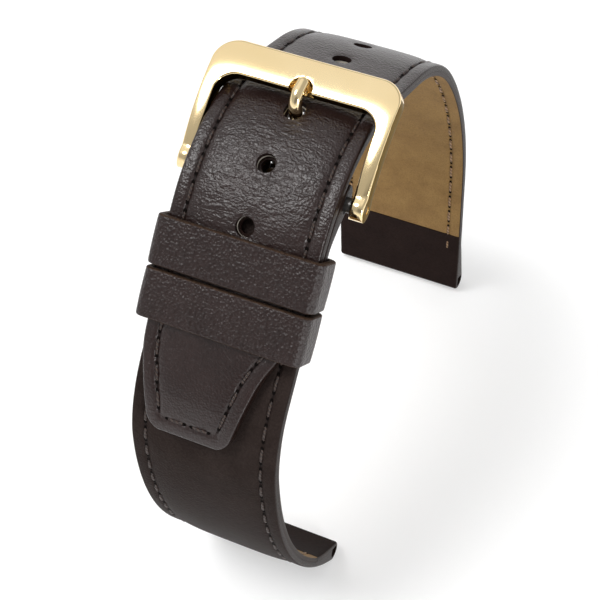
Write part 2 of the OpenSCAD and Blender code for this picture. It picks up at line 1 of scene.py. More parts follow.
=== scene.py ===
"""The looks of the leather watch strap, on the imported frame.

Lengths here are in millimetres until a mesh is made. A place on the strap is
(s, x, n): s along the wrist line from the far lug end, x across it, n outwards.
"""
import json
import math

import bmesh
import bpy
from mathutils import Matrix, Vector


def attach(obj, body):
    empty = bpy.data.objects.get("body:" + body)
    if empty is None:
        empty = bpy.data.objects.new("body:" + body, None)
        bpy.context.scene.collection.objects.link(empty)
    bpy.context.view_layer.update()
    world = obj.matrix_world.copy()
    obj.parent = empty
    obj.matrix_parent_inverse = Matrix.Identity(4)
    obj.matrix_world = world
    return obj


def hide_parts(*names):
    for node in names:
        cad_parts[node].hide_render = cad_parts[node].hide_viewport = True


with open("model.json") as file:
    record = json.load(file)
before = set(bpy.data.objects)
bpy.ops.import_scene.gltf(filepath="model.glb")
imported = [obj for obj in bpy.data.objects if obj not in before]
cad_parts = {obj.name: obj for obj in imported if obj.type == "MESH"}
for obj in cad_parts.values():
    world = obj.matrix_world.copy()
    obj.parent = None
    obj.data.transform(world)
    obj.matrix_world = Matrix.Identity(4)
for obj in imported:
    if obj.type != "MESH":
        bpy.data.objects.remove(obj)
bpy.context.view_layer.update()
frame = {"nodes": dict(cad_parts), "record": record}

MM = 0.001
# Sizes, as in the part's source, but for NEAR_WRAP and WINDOW_R, which follow the photograph.
# The two pieces, and how the tail lies
LUG_W, BUCKLE_W, LONG_L, SHORT_L = 20, 19, 124, 81
LUG_STRAIGHT, TAPER_END, SHORT_STRAIGHT = 8, 62, 28
TIP_W, TIP_L, TIP_R, TAIL_LEAN, PUSH = 10.2, 17, 1.8, 1.4, 0.35
# Layers, and the gaps between them
TOP_T, LINING_T, PUFF = 0.75, 0.65, 0.3
GLUE, LAY, HAIR, BUTT = 0.03, 0.12, 0.03, 0.1
# Channels at the two ends, and the leather turned round them
LUG_BORE, LUG_WALL, LUG_BLEND, WRAP_L, NEAR_WRAP = 0.9, 0.55, 9, 13, 10
# Holes and seams
HOLE_D, HOLE_PITCH, HOLE_N, FIRST_HOLE, USED_HOLE, USED_L = 2.4, 7, 6, 26.3, 3, 3.4
SEAM_IN, STITCH, SHARE, SEAM_FROM, CORNER_IN = 1.9, 3.2, 0.74, 5, 0.5
# Arcs of the wrist line
SHOULDER_L, SHOULDER_R, CROWN_L, CROWN_R, FLAT_L = 29, 49, 14.8, 24, 9.1
BROW_R, BROW_BEFORE, BROW_AFTER = 17.8, 15, 6.8
RUN_L, BELLY_L, BELLY_R, TOE_R = 18, 12.4, 18.9, 52
# Buckle and tongue
FRAME_L, BAR_W, FRAME_T, FRAME_BOW, BOW_TOP, BOW_SHARE = 14.9, 4.3, 2.2, 24, 2.05, 0.48
ARM_W, ARM_GAP, ARM_END_R, CORNER_R, WINDOW_R = 1.7, 0.5, 1.5, 3, 2.5
NOTCH_W, NOTCH_FLOOR, NOTCH_DEEP, EYE_R = 2.9, 0.35, 0.35, 0.48
TONGUE_D, SHANK, BAR_TO_HOLE = 1.6, 4.95, 8
# Collar of the spring bar, and the fold round it
TUBE_R, RUN_GAP, FOLD_WALL, FOLD_L, FOLD_BLEND, FOLD_PLAY = 0.9, 0.06, 0.64, 9, 6, 0.02
# Loops
KEEPER_W, KEEPER_T, KEEPER_GAP, KEEPER_FROM, KEEPER_APART = 5.9, 0.85, 0.15, 7.2, 0.4
LAP_L, LAP_T, LAP_STITCH = 9, 0.7, 0.26

# The surface: the padding's rise and fall, rolled edges, sunk seams and dished holes
END_RISE, TAIL_RISE, TAIL_ROOM, TIP_PUFF, TIP_PUFF_L = 6, 5, 1, 0.45, 20
EDGE_R, LINING_EDGE_R, RIDGE, DOME_IN, TIP_DOME_IN, FADE_L = 0.34, 0.18, 0.05, 0.35, 0.3, 3
GROOVE, LINING_GROOVE, GROOVE_W, GROOVE_REACH = 0.17, 0.14, 0.3, 1.2
PRICK, PRICK_W, PRICK_L = 0.13, 0.24, 0.28
DISH, DISH_W, WORN_DISH, WORN_W, DISH_REACH = 0.1, 0.32, 0.12, 2.2, 3
# Holes narrow towards the wrist. The used one lies to the right, and its lower rim is near
# the tongue, so that no light shows beside it
LINING_HOLE_D, TONGUE_ROOM, USED_SHIFT, USED_LOW, LINING_LOW = 1.7, 0.45, 0.15, 0.37, -0.2
HOLE_SIDES, HOLE_TURN, CUT_FROM, CUT_TO = 48, 0.37, -1.53, 3.47
# The fold reaches further back than a half circle, and its slot is centred on the tongue
FOLD_REACH, SLOT_ROOM, SLOT_BACK, SLOT_FRONT = 1.45, 0.75, 1.6, 1.1
THREAD_R, THREAD_SINK, THREAD_DIP, PIT_L, PIT_W, PIT_SIDES = 0.18, 0.07, 0.34, 0.3, 0.2, 12
# The padding's distance from a seam, and how far the polished and dressed faces bulge
PILLOW_IN, FELT_IN, FELT_GAP, FELT_FILL, BULGE = 0.75, 0.8, 0.01, 0.9, 0.05
# Longest step along a sheet, and distances from an edge at which a section has points
GAP = 0.42
EDGE_STEPS = [0, 0.03, 0.1, 0.2, 0.34, 0.7, 1.1, 1.4, 1.6, 1.75, SEAM_IN, 2.05, 2.2, 2.45, 2.8, 3.3]
EDGE_STRIPS, MIDDLE_N, BACK_RIM, LEAST_X = 2, 27, 0.15, 0.6

LUG_R = LUG_BORE + LUG_WALL
FOLD_BORE = TUBE_R + RUN_GAP
FOLD_R = FOLD_BORE + FOLD_WALL
HOLES = [LONG_L - FIRST_HOLE - i * HOLE_PITCH for i in range(HOLE_N)]
USED_S = HOLES[USED_HOLE - 1]
USED_SLACK = (USED_L - HOLE_D) / 2
BAR_S = USED_S + BAR_TO_HOLE
TOTAL = BAR_S + SHORT_L
BAR_N = -(FOLD_R + LAY + FOLD_PLAY)
EDGE_T = TOP_T + LINING_T + GLUE
KEEPER1 = BAR_S + KEEPER_FROM
KEEPER2 = KEEPER1 + KEEPER_W + KEEPER_APART
TIP_SEAM = LONG_L - SEAM_IN
TIP_REACH = TIP_W / 2 - SEAM_IN
TIP_MARKS = [LONG_L - TIP_R * (1 - math.sin(math.radians(a))) for a in (*range(8, 81, 8), 85, 89)]
ARCS = [(BAR_S - BROW_BEFORE - FLAT_L - CROWN_L - SHOULDER_L, 0), (SHOULDER_L, SHOULDER_R),
        (CROWN_L, CROWN_R), (FLAT_L, 0), (BROW_BEFORE + BROW_AFTER, BROW_R), (RUN_L, 0),
        (BELLY_L, BELLY_R), (SHORT_L - BROW_AFTER - RUN_L - BELLY_L, TOE_R)]


# The wrist line
def step(p, radius, d):
    """The point and heading (y, z, degrees) after d along an arc that turns left."""
    a0 = math.radians(p[2])
    if radius == 0:
        return (p[0] + d * math.cos(a0), p[1] + d * math.sin(a0), p[2])
    a = a0 + d / radius
    return (p[0] + radius * (math.sin(a) - math.sin(a0)), p[1] - radius * (math.cos(a) - math.cos(a0)),
            math.degrees(a))


def off(p, n):
    """The point (y, z) beside a point with a heading."""
    a = math.radians(p[2])
    return (p[0] + n * math.sin(a), p[1] - n * math.cos(a))


def arc_starts():
    """Where each arc begins: s, and the point with its heading."""
    starts, s, p = [], 0.0, (0.0, 0.0, 90.0)
    for length, radius in ARCS:
        starts.append((s, p))
        s, p = s + length, step(p, radius, length)
    return starts


STARTS = arc_starts()


def raw(s):
    """The wrist line before it is turned to stand on its two ends."""
    i = max(k for k in range(len(ARCS)) if k == 0 or s >= STARTS[k][0])
    return step(STARTS[i][1], ARCS[i][1], s - STARTS[i][0])


FAR_N, NEAR_N = LUG_R - HAIR, -LAY - LUG_R + HAIR
far_axis, near_axis = off(raw(LUG_R), FAR_N), off(raw(TOTAL - LUG_R), NEAR_N)
TURN = math.pi - math.atan2(near_axis[1] - far_axis[1], near_axis[0] - far_axis[0])


def turned(q):
    return (q[0] * math.cos(TURN) - q[1] * math.sin(TURN), q[0] * math.sin(TURN) + q[1] * math.cos(TURN))


RISE = LUG_R - turned(far_axis)[1]
# The far channel's bore is a mount, so the record gives its place
far_bore = next(m for m in frame["record"]["mounts"] if m["name"] == "far_lug_bore")
SHIFT = far_bore["pos_m"][1] / MM - turned(far_axis)[0]


def at(s):
    """The wrist line's point and heading (y, z, degrees) at s."""
    p = raw(s)
    q = turned(p)
    return (q[0] + SHIFT, q[1] + RISE, p[2] + math.degrees(TURN))


def line(s, n):
    """A point (y, z) beside the wrist line."""
    return off(at(s), n)


def place(s, x, n):
    """A point of the strap in the row frame."""
    return (x - PUSH,) + line(s, n)


def axes(s):
    """The directions (y, z) along the strap and outwards at s."""
    h = math.radians(at(s)[2])
    return (math.cos(h), math.sin(h)), (math.sin(h), -math.cos(h))


def on_strap(s, n, q):
    """A point q = (x, back along the strap, outwards) placed at s and n."""
    y, z = line(s, n)
    t, m = axes(s)
    return (q[0], y - t[0] * q[1] + m[0] * q[2], z - t[1] * q[1] + m[1] * q[2])


# Widths, thicknesses and the surface
def blend(a, b, t):
    return a + (b - a) * min(max(t, 0.0), 1.0)


def smooth(t):
    t = min(max(t, 0.0), 1.0)
    return t * t * (3 - 2 * t)


def long_half(s):
    """Half the width of the long piece: straight, tapered, and cut to a blunt tip."""
    d = LONG_L - s
    cut_off = TIP_R - math.sqrt(max(TIP_R ** 2 - (TIP_R - d) ** 2, 0)) if d < TIP_R else 0
    full = blend(LUG_W, BUCKLE_W, (s - LUG_STRAIGHT) / (TAPER_END - LUG_STRAIGHT)) / 2
    return blend(TIP_W / 2, full, d / TIP_L) - cut_off


def short_half(s):
    taper = TOTAL - LUG_STRAIGHT - BAR_S - SHORT_STRAIGHT
    return blend(LUG_W, BUCKLE_W, (TOTAL - LUG_STRAIGHT - s) / taper) / 2


def long_edge(s):
    """Thickness of the long piece at its edge."""
    return blend(2 * LUG_R - 2 * HAIR, EDGE_T, (s - LUG_R) / LUG_BLEND)


def short_edge(s):
    return max(blend(2 * LUG_R - 2 * HAIR, EDGE_T, (TOTAL - LUG_R - s) / LUG_BLEND),
               blend(2 * FOLD_R - HAIR, EDGE_T, (s - BAR_S) / FOLD_BLEND))


def long_puff(s):
    """How much the padding lifts the middle of the long piece."""
    rise = smooth((s - 2 * LUG_R) / END_RISE)
    return PUFF * rise * blend(TIP_PUFF, 1, (LONG_L - s) / TIP_PUFF_L)


def short_puff(s):
    return PUFF * smooth((s - LONG_L - TAIL_ROOM) / TAIL_RISE) * smooth((TOTAL - 2 * LUG_R - s) / END_RISE)


def lean(s):
    """Middle of the long piece, which leaves the strap's middle line below the loops."""
    return -TAIL_LEAN * smooth(2 * (s - LONG_L + TIP_L) / TIP_L)


def straight(s):
    return 0.0


def flat(s, x):
    return 0


def edge_drop(e, r=EDGE_R):
    """How far a rounded edge falls at a distance e from it."""
    e = min(max(e, 0.0), r)
    return r - math.sqrt(max(r * r - (r - e) ** 2, 0))


def stitch_spans(a, b):
    """Where each stitch of a row from a to b starts and ends."""
    n = round((b - a) / STITCH)
    pitch = (b - a) / n
    return [(a + (i + (1 - SHARE) / 2) * pitch, a + (i + (1 + SHARE) / 2) * pitch) for i in range(n)]


LONG_SPANS = stitch_spans(LUG_BLEND, LONG_L - TIP_L) + stitch_spans(LONG_L - TIP_L, TIP_SEAM - CORNER_IN)
SHORT_SPANS = stitch_spans(BAR_S + SEAM_FROM, TOTAL - LUG_BLEND)
TIP_SPANS = stitch_spans(-TIP_REACH, TIP_REACH)


def seam_relief(d, s, spans, depth=GROOVE):
    """Groove of a seam at a distance d from its line, deeper where the thread goes in."""
    if d > GROOVE_REACH:
        return 0.0
    near = min(min(abs(s - a), abs(s - b)) for a, b in spans)
    groove = depth * math.exp(-(d / GROOVE_W) ** 2)
    return -groove - PRICK * math.exp(-(d / PRICK_W) ** 2 - (near / PRICK_L) ** 2)


def ridge(d):
    """The edge band is a little convex between the seam and the edge."""
    return RIDGE * math.sin(math.pi * min(max(d / SEAM_IN, 0), 1)) if d < SEAM_IN else 0.0


def dome(x, w):
    """Share of the padding's lift at x: nearly level, and none at the seams."""
    return 1 - min(abs(x) / max(w - SEAM_IN - DOME_IN, 0.1), 1) ** 5


def hole_dish(s, x):
    """How far the leather sinks round the holes, most at the one in use."""
    sunk = 0
    for h in HOLES:
        if abs(s - h) < DISH_REACH:
            worn = h == USED_S
            q = math.hypot(max(abs(s - h) - USED_SLACK, 0) if worn else s - h, x)
            sunk += DISH * math.exp(-(max(q - HOLE_D / 2, 0) / DISH_W) ** 2)
            sunk += WORN_DISH * math.exp(-(q / WORN_W) ** 2) if worn else 0
    return sunk


def long_relief(s, x):
    """How far the long piece's leather rises over a plain sheet with sharp edges."""
    w = long_half(s)
    e = min(w - abs(x), LONG_L - s)
    r = -edge_drop(e)
    if s > LUG_R:
        tip = smooth((TIP_SEAM - TIP_DOME_IN - s) / FADE_L)
        r += smooth((s - LUG_R) / FADE_L) * (long_puff(s) * dome(x, w) * tip + ridge(e))
        if s > LUG_BLEND - 1:
            side = e == w - abs(x)
            r += seam_relief(abs(e - SEAM_IN), s if side else x, LONG_SPANS if side else TIP_SPANS)
        r -= hole_dish(s, x)
    return r


def short_relief(s, x):
    w = short_half(s)
    e = w - abs(x)
    fade = smooth((s - BAR_S) / 4) * smooth((TOTAL - LUG_R - s) / FADE_L)
    r = -edge_drop(e) + short_puff(s) * dome(x, w) + fade * ridge(e)
    if BAR_S + 4 < s < TOTAL - LUG_BLEND + 1:
        r += seam_relief(abs(e - SEAM_IN), s, SHORT_SPANS)
    return r


# Meshes
def turn_outwards(me):
    bm = bmesh.new()
    bm.from_mesh(me)
    bmesh.ops.recalc_face_normals(bm, faces=bm.faces)
    bm.to_mesh(me)
    bm.free()


def new_mesh(name, points, faces):
    """A linked object from points in millimetres."""
    me = bpy.data.meshes.new(name)
    me.from_pydata([tuple(c * MM for c in p) for p in points], [], faces)
    o = bpy.data.objects.new(name, me)
    bpy.context.scene.collection.objects.link(o)
    return o


def scratch(name, points, faces):
    """A shape that only cuts."""
    o = new_mesh(name, points, faces)
    turn_outwards(o.data)
    return o


def mesh_object(name, points, faces, body, slot, mats, face_mats=None):
    """A smooth object from points in millimetres, which rides on a body."""
    o = new_mesh(name, points, faces)
    me = o.data
    for m in mats:
        me.materials.append(m)
    if face_mats:
        me.polygons.foreach_set("material_index", face_mats)
    me.polygons.foreach_set("use_smooth", [True] * len(me.polygons))
    me.validate()
    me.update()
    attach(o, body)
    return o


def loft(rings, closed=False, per_face=lambda i, j: 0):
    """Points, faces and their materials through rings of points. The last ring joins the
    first if closed, and else the ends are capped. per_face(i, j) gives a quad's material."""
    k, count = len(rings[0]), len(rings)
    faces, mats = [], []
    for i in range(count if closed else count - 1):
        for j in range(k):
            a, b, on = i * k + j, i * k + (j + 1) % k, (i + 1) % count * k - i * k
            faces.append((a, b, b + on, a + on))
            mats.append(per_face(i, j))
    if not closed:
        faces += [tuple(reversed(range(k))), tuple(range((count - 1) * k, count * k))]
        mats += [per_face(0, 0), per_face(count - 2, 0)]
    return [p for r in rings for p in r], faces, mats


def gather(shapes):
    """Joins shapes of (points, faces, materials) into one."""
    pts, faces, mats = [], [], []
    for p, f, m in shapes:
        faces += [tuple(len(pts) + v for v in face) for face in f]
        pts += p
        mats += m
    return pts, faces, mats


def bake(o, angle=None):
    """Applies an object's modifiers, and marks edges sharper than an angle in degrees."""
    deps = bpy.context.evaluated_depsgraph_get()
    me = bpy.data.meshes.new_from_object(o.evaluated_get(deps))
    me.name = o.name
    o.modifiers.clear()
    o.data = me
    if angle:
        me.polygons.foreach_set("use_smooth", [True] * len(me.polygons))
        me.set_sharp_from_angle(angle=math.radians(angle))


def cut(o, cutters, wall=0):
    """Takes shapes out of an object and deletes them: wall is the material of the new walls."""
    for c in cutters:
        c.data.polygons.foreach_set("material_index", [wall] * len(c.data.polygons))
        m = o.modifiers.new("cut", "BOOLEAN")
        m.operation, m.solver, m.object = "DIFFERENCE", "EXACT", c
    bake(o)
    for c in cutters:
        bpy.data.objects.remove(c)


def hole_cutters(d=HOLE_D, used_shift=USED_SHIFT, low=0.0):
    """A cutter for each hole, d wide. The one for the used hole is longer, and its lower
    half is shortened by low."""
    cutters = []
    for i, s in enumerate(HOLES):
        used = i == USED_HOLE - 1
        r = max(d, TONGUE_D + TONGUE_ROOM) / 2 if used else d / 2
        ring = []
        for k in range(HOLE_SIDES):
            a = 2 * math.pi * (k + HOLE_TURN) / HOLE_SIDES
            x, y = r * math.cos(a) - PUSH, r * math.sin(a)
            if used:
                x += used_shift
                y = HOLE_D / 2 * math.sin(a) + (USED_SLACK if math.sin(a) >= 0 else low - USED_SLACK)
            ring.append((x, y))
        rings = [[on_strap(s, z, (x, y, 0)) for x, y in ring] for z in (CUT_FROM, CUT_TO)]
        cutters.append(scratch(f"cut_{i}", *loft(rings)[:2]))
    return cutters


def spread(a, b, gap):
    """Even steps from a to b, none longer than gap."""
    n = max(1, math.ceil(abs(b - a) / gap))
    return [a + (b - a) * i / n for i in range(n + 1)]


def cross(w):
    """Places x across a section, close together near its edges. At the very tip, those that
    would come within LEAST_X of the middle are left out."""
    side = [w - d for d in EDGE_STEPS if w - d > LEAST_X]
    inner = side[-1]
    mid = [inner * (2 * k / (MIDDLE_N + 1) - 1) for k in range(1, MIDDLE_N + 1)]
    return [-x for x in side] + mid + side[::-1]


def sheet(path, half, mid, relief, back_relief, name, body, slot, mats):
    """A sheet of leather along a path of (front, back, s, raised): front and back are points
    (y, z), and relief applies where raised is 1. half and mid give half the width and the
    middle at s. The materials are face and edge, then those of turned-in leather and of the
    painted shade in the seams' grooves."""
    rings = []
    for i, (f, b, s, raised) in enumerate(path):
        p, q = path[max(i - 1, 0)][0], path[min(i + 1, len(path) - 1)][0]
        ty, tz = q[0] - p[0], q[1] - p[1]
        length = math.hypot(ty, tz) or 1
        ny, nz = tz / length, -ty / length
        if (f[0] - b[0]) * ny + (f[1] - b[1]) * nz < 0:
            ny, nz = -ny, -nz
        w = half(s)
        ring = []
        for x in cross(w):
            r = relief(s, x) if raised else -edge_drop(w - abs(x))
            ring.append((x + mid(s) - PUSH, f[0] + ny * r, f[1] + nz * r))
        inner = w - SEAM_IN
        for x in (w, w - BACK_RIM, inner, *(inner * u for u in (0.7, 0.35, 0, -0.35, -0.7)),
                  -inner, BACK_RIM - w, -w):
            r = back_relief(s, x) if raised else 0
            ring.append((x + mid(s) - PUSH, b[0] + ny * r, b[1] + nz * r))
        rings.append(ring)
    front_n, seam = 2 * len(EDGE_STEPS) + MIDDLE_N, EDGE_STEPS.index(SEAM_IN)

    def mat(i, j):
        strip = min(j, front_n - 2 - j)
        s, raised = path[i][2:]
        if strip < EDGE_STRIPS:
            return 1
        if len(mats) == 2:
            return 0
        if not raised:
            return 2
        # The strips beside a seam's line take the painted shade of the groove
        on_side = LUG_BLEND < s < TOTAL - LUG_BLEND and not TIP_SEAM - CORNER_IN < s < LONG_L
        return 3 if on_side and strip in (seam - 1, seam) else 0
    pts, faces, face_mats = loft(rings, per_face=mat)
    o = mesh_object(name, pts, faces, body, slot, mats, face_mats)
    turn_outwards(o.data)
    return o


def roll(centre, s, r_out, r_in, way, reach=1.0):
    """Path round a turned end, from the wrist side to the outer side: way is -1 where the end
    faces back along the strap and 1 where it faces on, and reach stretches its outer side."""
    t, m = axes(s)
    out = []
    for i in range(1, 24):
        a = math.pi * i / 24
        d = [-m[c] * math.cos(a) + way * t[c] * math.sin(a) for c in (0, 1)]
        far = r_out * (reach - 1) * way * math.sin(a)
        out.append(([centre[c] + r_out * d[c] + far * t[c] for c in (0, 1)],
                    [centre[c] + r_in * d[c] for c in (0, 1)], s, 0))
    return out


def bore_back(a, r, centre_n, side, level):
    """Back of a layer beside a bore at a distance a along the strap."""
    return centre_n + side * math.sqrt(r * r - a * a) if a < r else level


def long_path():
    """From the end that is turned in at the far channel, round it and on to the tip."""
    path = []
    for s in spread(WRAP_L - BUTT / 2, LUG_R, GAP):
        nb = bore_back(s - LUG_R, LUG_BORE, FAR_N, -1, LINING_T)
        path.append((line(s, 0), line(s, min(nb, LINING_T)), s, 0))
    path += roll(line(LUG_R, FAR_N), LUG_R, LUG_R, LUG_BORE, -1)
    for s in spread(LUG_R, LONG_L - TIP_R, GAP) + TIP_MARKS:
        nb = bore_back(s - LUG_R, LUG_BORE, FAR_N, 1, LINING_T + GLUE)
        path.append((line(s, long_edge(s)), line(s, nb), s, 1))
    return path


def turned_in(s, a, bore, centre_n):
    """A place on the wrist side of the short piece's leather, a from a channel's axis."""
    low = -LAY - short_edge(s)
    nb = bore_back(a, bore, centre_n, -1, low + LINING_T)
    return line(s, low), line(s, min(nb, low + LINING_T)), s, 0


def short_path():
    """From the fold's end round the bar, along the outer side and round the near channel."""
    path = [turned_in(s, s - BAR_S, FOLD_BORE, BAR_N) for s in spread(BAR_S + FOLD_L - BUTT / 2, BAR_S, GAP)]
    path += roll(line(BAR_S, BAR_N), BAR_S, FOLD_R, FOLD_BORE, -1, FOLD_REACH)
    for s in spread(BAR_S, TOTAL - LUG_R, GAP):
        nb = low = -LAY - short_edge(s) + LINING_T + GLUE
        if s - BAR_S < FOLD_BORE:
            nb = bore_back(s - BAR_S, FOLD_BORE, BAR_N, 1, low)
        if TOTAL - LUG_R - s < LUG_BORE:
            nb = bore_back(TOTAL - LUG_R - s, LUG_BORE, NEAR_N, 1, low)
        path.append((line(s, -LAY), line(s, nb), s, 1))
    path += roll(line(TOTAL - LUG_R, NEAR_N), TOTAL - LUG_R, LUG_R, LUG_BORE, 1)[::-1]
    return path + [turned_in(s, TOTAL - LUG_R - s, LUG_BORE, NEAR_N)
                   for s in spread(TOTAL - LUG_R, TOTAL - NEAR_WRAP + BUTT / 2, GAP)]


# Materials. Their lengths are in metres, as Blender's are
def put(nt, socket, v):
    """Gives an input a value, or links it where v is the output of a node."""
    if isinstance(v, bpy.types.NodeSocket):
        nt.links.new(v, socket)
    else:
        socket.default_value = v


def add(nt, kind, **values):
    """A node with settings and inputs by name."""
    n = nt.nodes.new(kind)
    for key, v in values.items():
        if key in n.inputs:
            put(nt, n.inputs[key], v)
        else:
            setattr(n, key, v)
    return n


def calc(nt, operation, *values, kind="ShaderNodeMath"):
    """The result of a sum on values or outputs."""
    n = add(nt, kind, operation=operation)
    for socket, v in zip(n.inputs, values):
        put(nt, socket, v)
    return n.outputs[0]


def noise(nt, v, scale, detail, rough=0.5, distortion=0.0):
    return add(nt, "ShaderNodeTexNoise", Vector=v, Scale=scale, Detail=detail, Roughness=rough,
               Distortion=distortion).outputs


def mapped(nt, source, start, end, low, high, kind="LINEAR"):
    """A value taken from the range start to end to the range low to high."""
    n = add(nt, "ShaderNodeMapRange", interpolation_type=kind, Value=source)
    for key, v in zip(("From Min", "From Max", "To Min", "To Max"), (start, end, low, high)):
        n.inputs[key].default_value = v
    return n.outputs[0]


def bumps(nt, height, distance, strength=1.0, **under):
    return add(nt, "ShaderNodeBump", Strength=strength, Distance=distance, Height=height, **under).outputs[0]


def ramp(nt, source, stops):
    r = nt.nodes.new("ShaderNodeValToRGB")
    while len(r.color_ramp.elements) < len(stops):
        r.color_ramp.elements.new(0.5)
    for e, (pos, colour) in zip(r.color_ramp.elements, stops):
        e.position = pos
        e.color = (*colour, 1)
    nt.links.new(source, r.inputs[0])
    return r.outputs[0]


def coords(nt, stretch=(1, 1, 1)):
    tc = nt.nodes.new("ShaderNodeTexCoord")
    return add(nt, "ShaderNodeMapping", Scale=stretch, Vector=tc.outputs["Object"]).outputs[0]


def material(name):
    """A new material, its nodes and the place of its points."""
    m = bpy.data.materials.new(name)
    m.use_nodes = True
    return m, m.node_tree, coords(m.node_tree)


def dress(m, values):
    """Sets or links inputs of a material's shader by name."""
    shader = m.node_tree.nodes["Principled BSDF"]
    for key, v in values.items():
        put(m.node_tree, shader.inputs[key], v)
    return m


def leather(name, dark, light, grain=3600, height=0.00003, rough=(0.3, 0.44), crease=0.5, gloss=0.4,
            wrinkle=0.0):
    """Grained leather: colour that shifts a little, pebbles, creases and pores. The wrinkles
    lie across the strap and are tallest below the buckle."""
    m, nt, v = material(name)
    tone = noise(nt, v, 260, 5, 0.6)[0]
    bend = noise(nt, v, grain * 0.4, 2)["Color"]
    warped = calc(nt, "MULTIPLY_ADD", bend, (0.00022,) * 3, v, kind="ShaderNodeVectorMath")
    pebbles = add(nt, "ShaderNodeTexVoronoi", feature="SMOOTH_F1", Vector=warped, Scale=grain,
                  Randomness=1.0, Smoothness=0.4).outputs["Distance"]
    folds = noise(nt, warped, grain * 0.22, 3, 0.55)[0]
    fine = noise(nt, v, grain * 2.6, 4, 0.65)[0]
    tall = calc(nt, "MULTIPLY_ADD", fine, 0.3, calc(nt, "MULTIPLY_ADD", folds, crease, pebbles))
    normal = bumps(nt, tall, height)
    if wrinkle:
        pattern = noise(nt, coords(nt, (0.42, 1, 1)), 1800, 2.5, 0.5, 0.8)[0]
        below_buckle = tuple(c * MM for c in place(91.2, 0, 1.8))
        far = add(nt, "ShaderNodeVectorMath", operation="DISTANCE", Vector=v)
        far.inputs[1].default_value = below_buckle
        fade = mapped(nt, far.outputs["Value"], 0.0125, 0.003, 0.12, 1.0, "SMOOTHSTEP")
        normal = bumps(nt, calc(nt, "MULTIPLY", pattern, fade), wrinkle, Normal=normal)
    mix = add(nt, "ShaderNodeMix", data_type="RGBA", blend_type="MULTIPLY", Factor=1)
    colour_a, colour_b = mix.inputs[6], mix.inputs[7]
    put(nt, colour_a, ramp(nt, tone, [(0.3, dark), (0.7, light)]))
    put(nt, colour_b, ramp(nt, pebbles, [(0.0, (1, 1, 1)), (0.9, (0.72, 0.7, 0.7))]))
    return dress(m, {"Base Color": mix.outputs[2], "Roughness": mapped(nt, tone, 0, 1, *rough),
                     "Specular IOR Level": gloss, "Normal": normal})


def metal(name, base, dark, rough, scratch_scale=900, scratches=0.000002, rim=(1, 1, 1)):
    """Polished or turned metal with faint rub marks. rim tints what it mirrors at a flat angle."""
    m, nt, v = material(name)
    marks = noise(nt, v, scratch_scale, 4, 0.6)[0]
    return dress(m, {"Base Color": ramp(nt, noise(nt, v, 120, 2)[0], [(0.35, dark), (0.65, base)]),
                     "Roughness": mapped(nt, marks, 0, 1, *rough), "Metallic": 1,
                     "Normal": bumps(nt, marks, scratches, 0.5), "Specular Tint": (*rim, 1)})


def fibre(name, dark, light, scale, height, rough):
    """Fibres of felt or a cut edge."""
    m, nt, v = material(name)
    strands = noise(nt, v, scale, 5, 0.7)[0]
    return dress(m, {"Base Color": ramp(nt, strands, [(0.32, dark), (0.68, light)]), "Roughness": rough,
                     "Specular IOR Level": 0.08, "Normal": bumps(nt, strands, height, 0.8)})


def thread(name, dark, light):
    """Two-ply waxed thread: slanting plies over fine fibre."""
    m, nt, v = material(name)
    plies = add(nt, "ShaderNodeTexWave", wave_type="BANDS", bands_direction="DIAGONAL", Vector=v,
                Scale=900, Distortion=1.5, Detail=1).outputs["Fac"]
    both = calc(nt, "MULTIPLY_ADD", noise(nt, v, 9000, 3)[0], 0.4, plies)
    return dress(m, {"Base Color": ramp(nt, both, [(0.25, dark), (1.0, light)]), "Roughness": 0.55,
                     "Normal": bumps(nt, both, 0.00006, 0.9)})


LEATHER = leather("dark_leather", (0.0155, 0.0066, 0.0056), (0.022, 0.0098, 0.0083), height=0.00005,
                  rough=(0.25, 0.37), gloss=0.5, wrinkle=0.00024)
# The short piece's leather: a copy of the same leather with almost no gloss, so it mirrors little of the
# bright floor, and a lighter base: painted shade
LOW_LEATHER = leather("shaded_copy_leather", (0.0255, 0.018, 0.016), (0.0355, 0.0262, 0.0232),
                      height=0.00005, rough=(0.4, 0.52), gloss=0.015)
KEEPER_LEATHER = leather("loop_leather", (0.0155, 0.0066, 0.0056), (0.022, 0.0098, 0.0083), grain=2800,
                         height=0.00011, crease=0.9, rough=(0.3, 0.42))
# A darker copy of the leather for the seams' grooves: painted shade
SEAM = leather("seam_shadow", (0.01, 0.005, 0.0042), (0.015, 0.0078, 0.0065), height=0.00002,
               rough=(0.5, 0.6), gloss=0.2)
INNER = leather("inner_leather", (0.0165, 0.0098, 0.0085), (0.023, 0.0142, 0.0122), grain=3000,
                height=0.00002, rough=(0.5, 0.65), gloss=0.03)
LINING = leather("tan_lining", (0.25, 0.145, 0.048), (0.34, 0.206, 0.073), grain=5200, height=0.000018,
                 rough=(0.55, 0.7), crease=0.3, gloss=0.2)
# Flat near-black discs at the needle holes: painted shade
PIT_SHADE = fibre("needle_hole_shade", (0.002, 0.0012, 0.001), (0.004, 0.0025, 0.002), 3000, 0.00001, 0.9)
EDGE = fibre("painted_edge", (0.009, 0.0045, 0.0037), (0.02, 0.011, 0.0085), 3200, 0.00005, 0.34)
LOOP_EDGE = fibre("loop_cut_edge", (0.018, 0.01, 0.007), (0.06, 0.035, 0.022), 3600, 0.00005, 0.6)
LINING_EDGE = fibre("painted_lining_edge", (0.01, 0.005, 0.004), (0.024, 0.013, 0.01), 3400, 0.00004, 0.4)
FELT = fibre("felt_padding", (0.55, 0.5, 0.42), (0.78, 0.73, 0.65), 2600, 0.00008, 0.95)
THREAD = thread("dark_thread", (0.012, 0.0062, 0.005), (0.045, 0.026, 0.019))
TAN_THREAD = thread("tan_thread", (0.11, 0.06, 0.028), (0.33, 0.2, 0.1))
GOLD = metal("pale_gold", (0.94, 0.75, 0.44), (0.9, 0.7, 0.39), (0.1, 0.16))
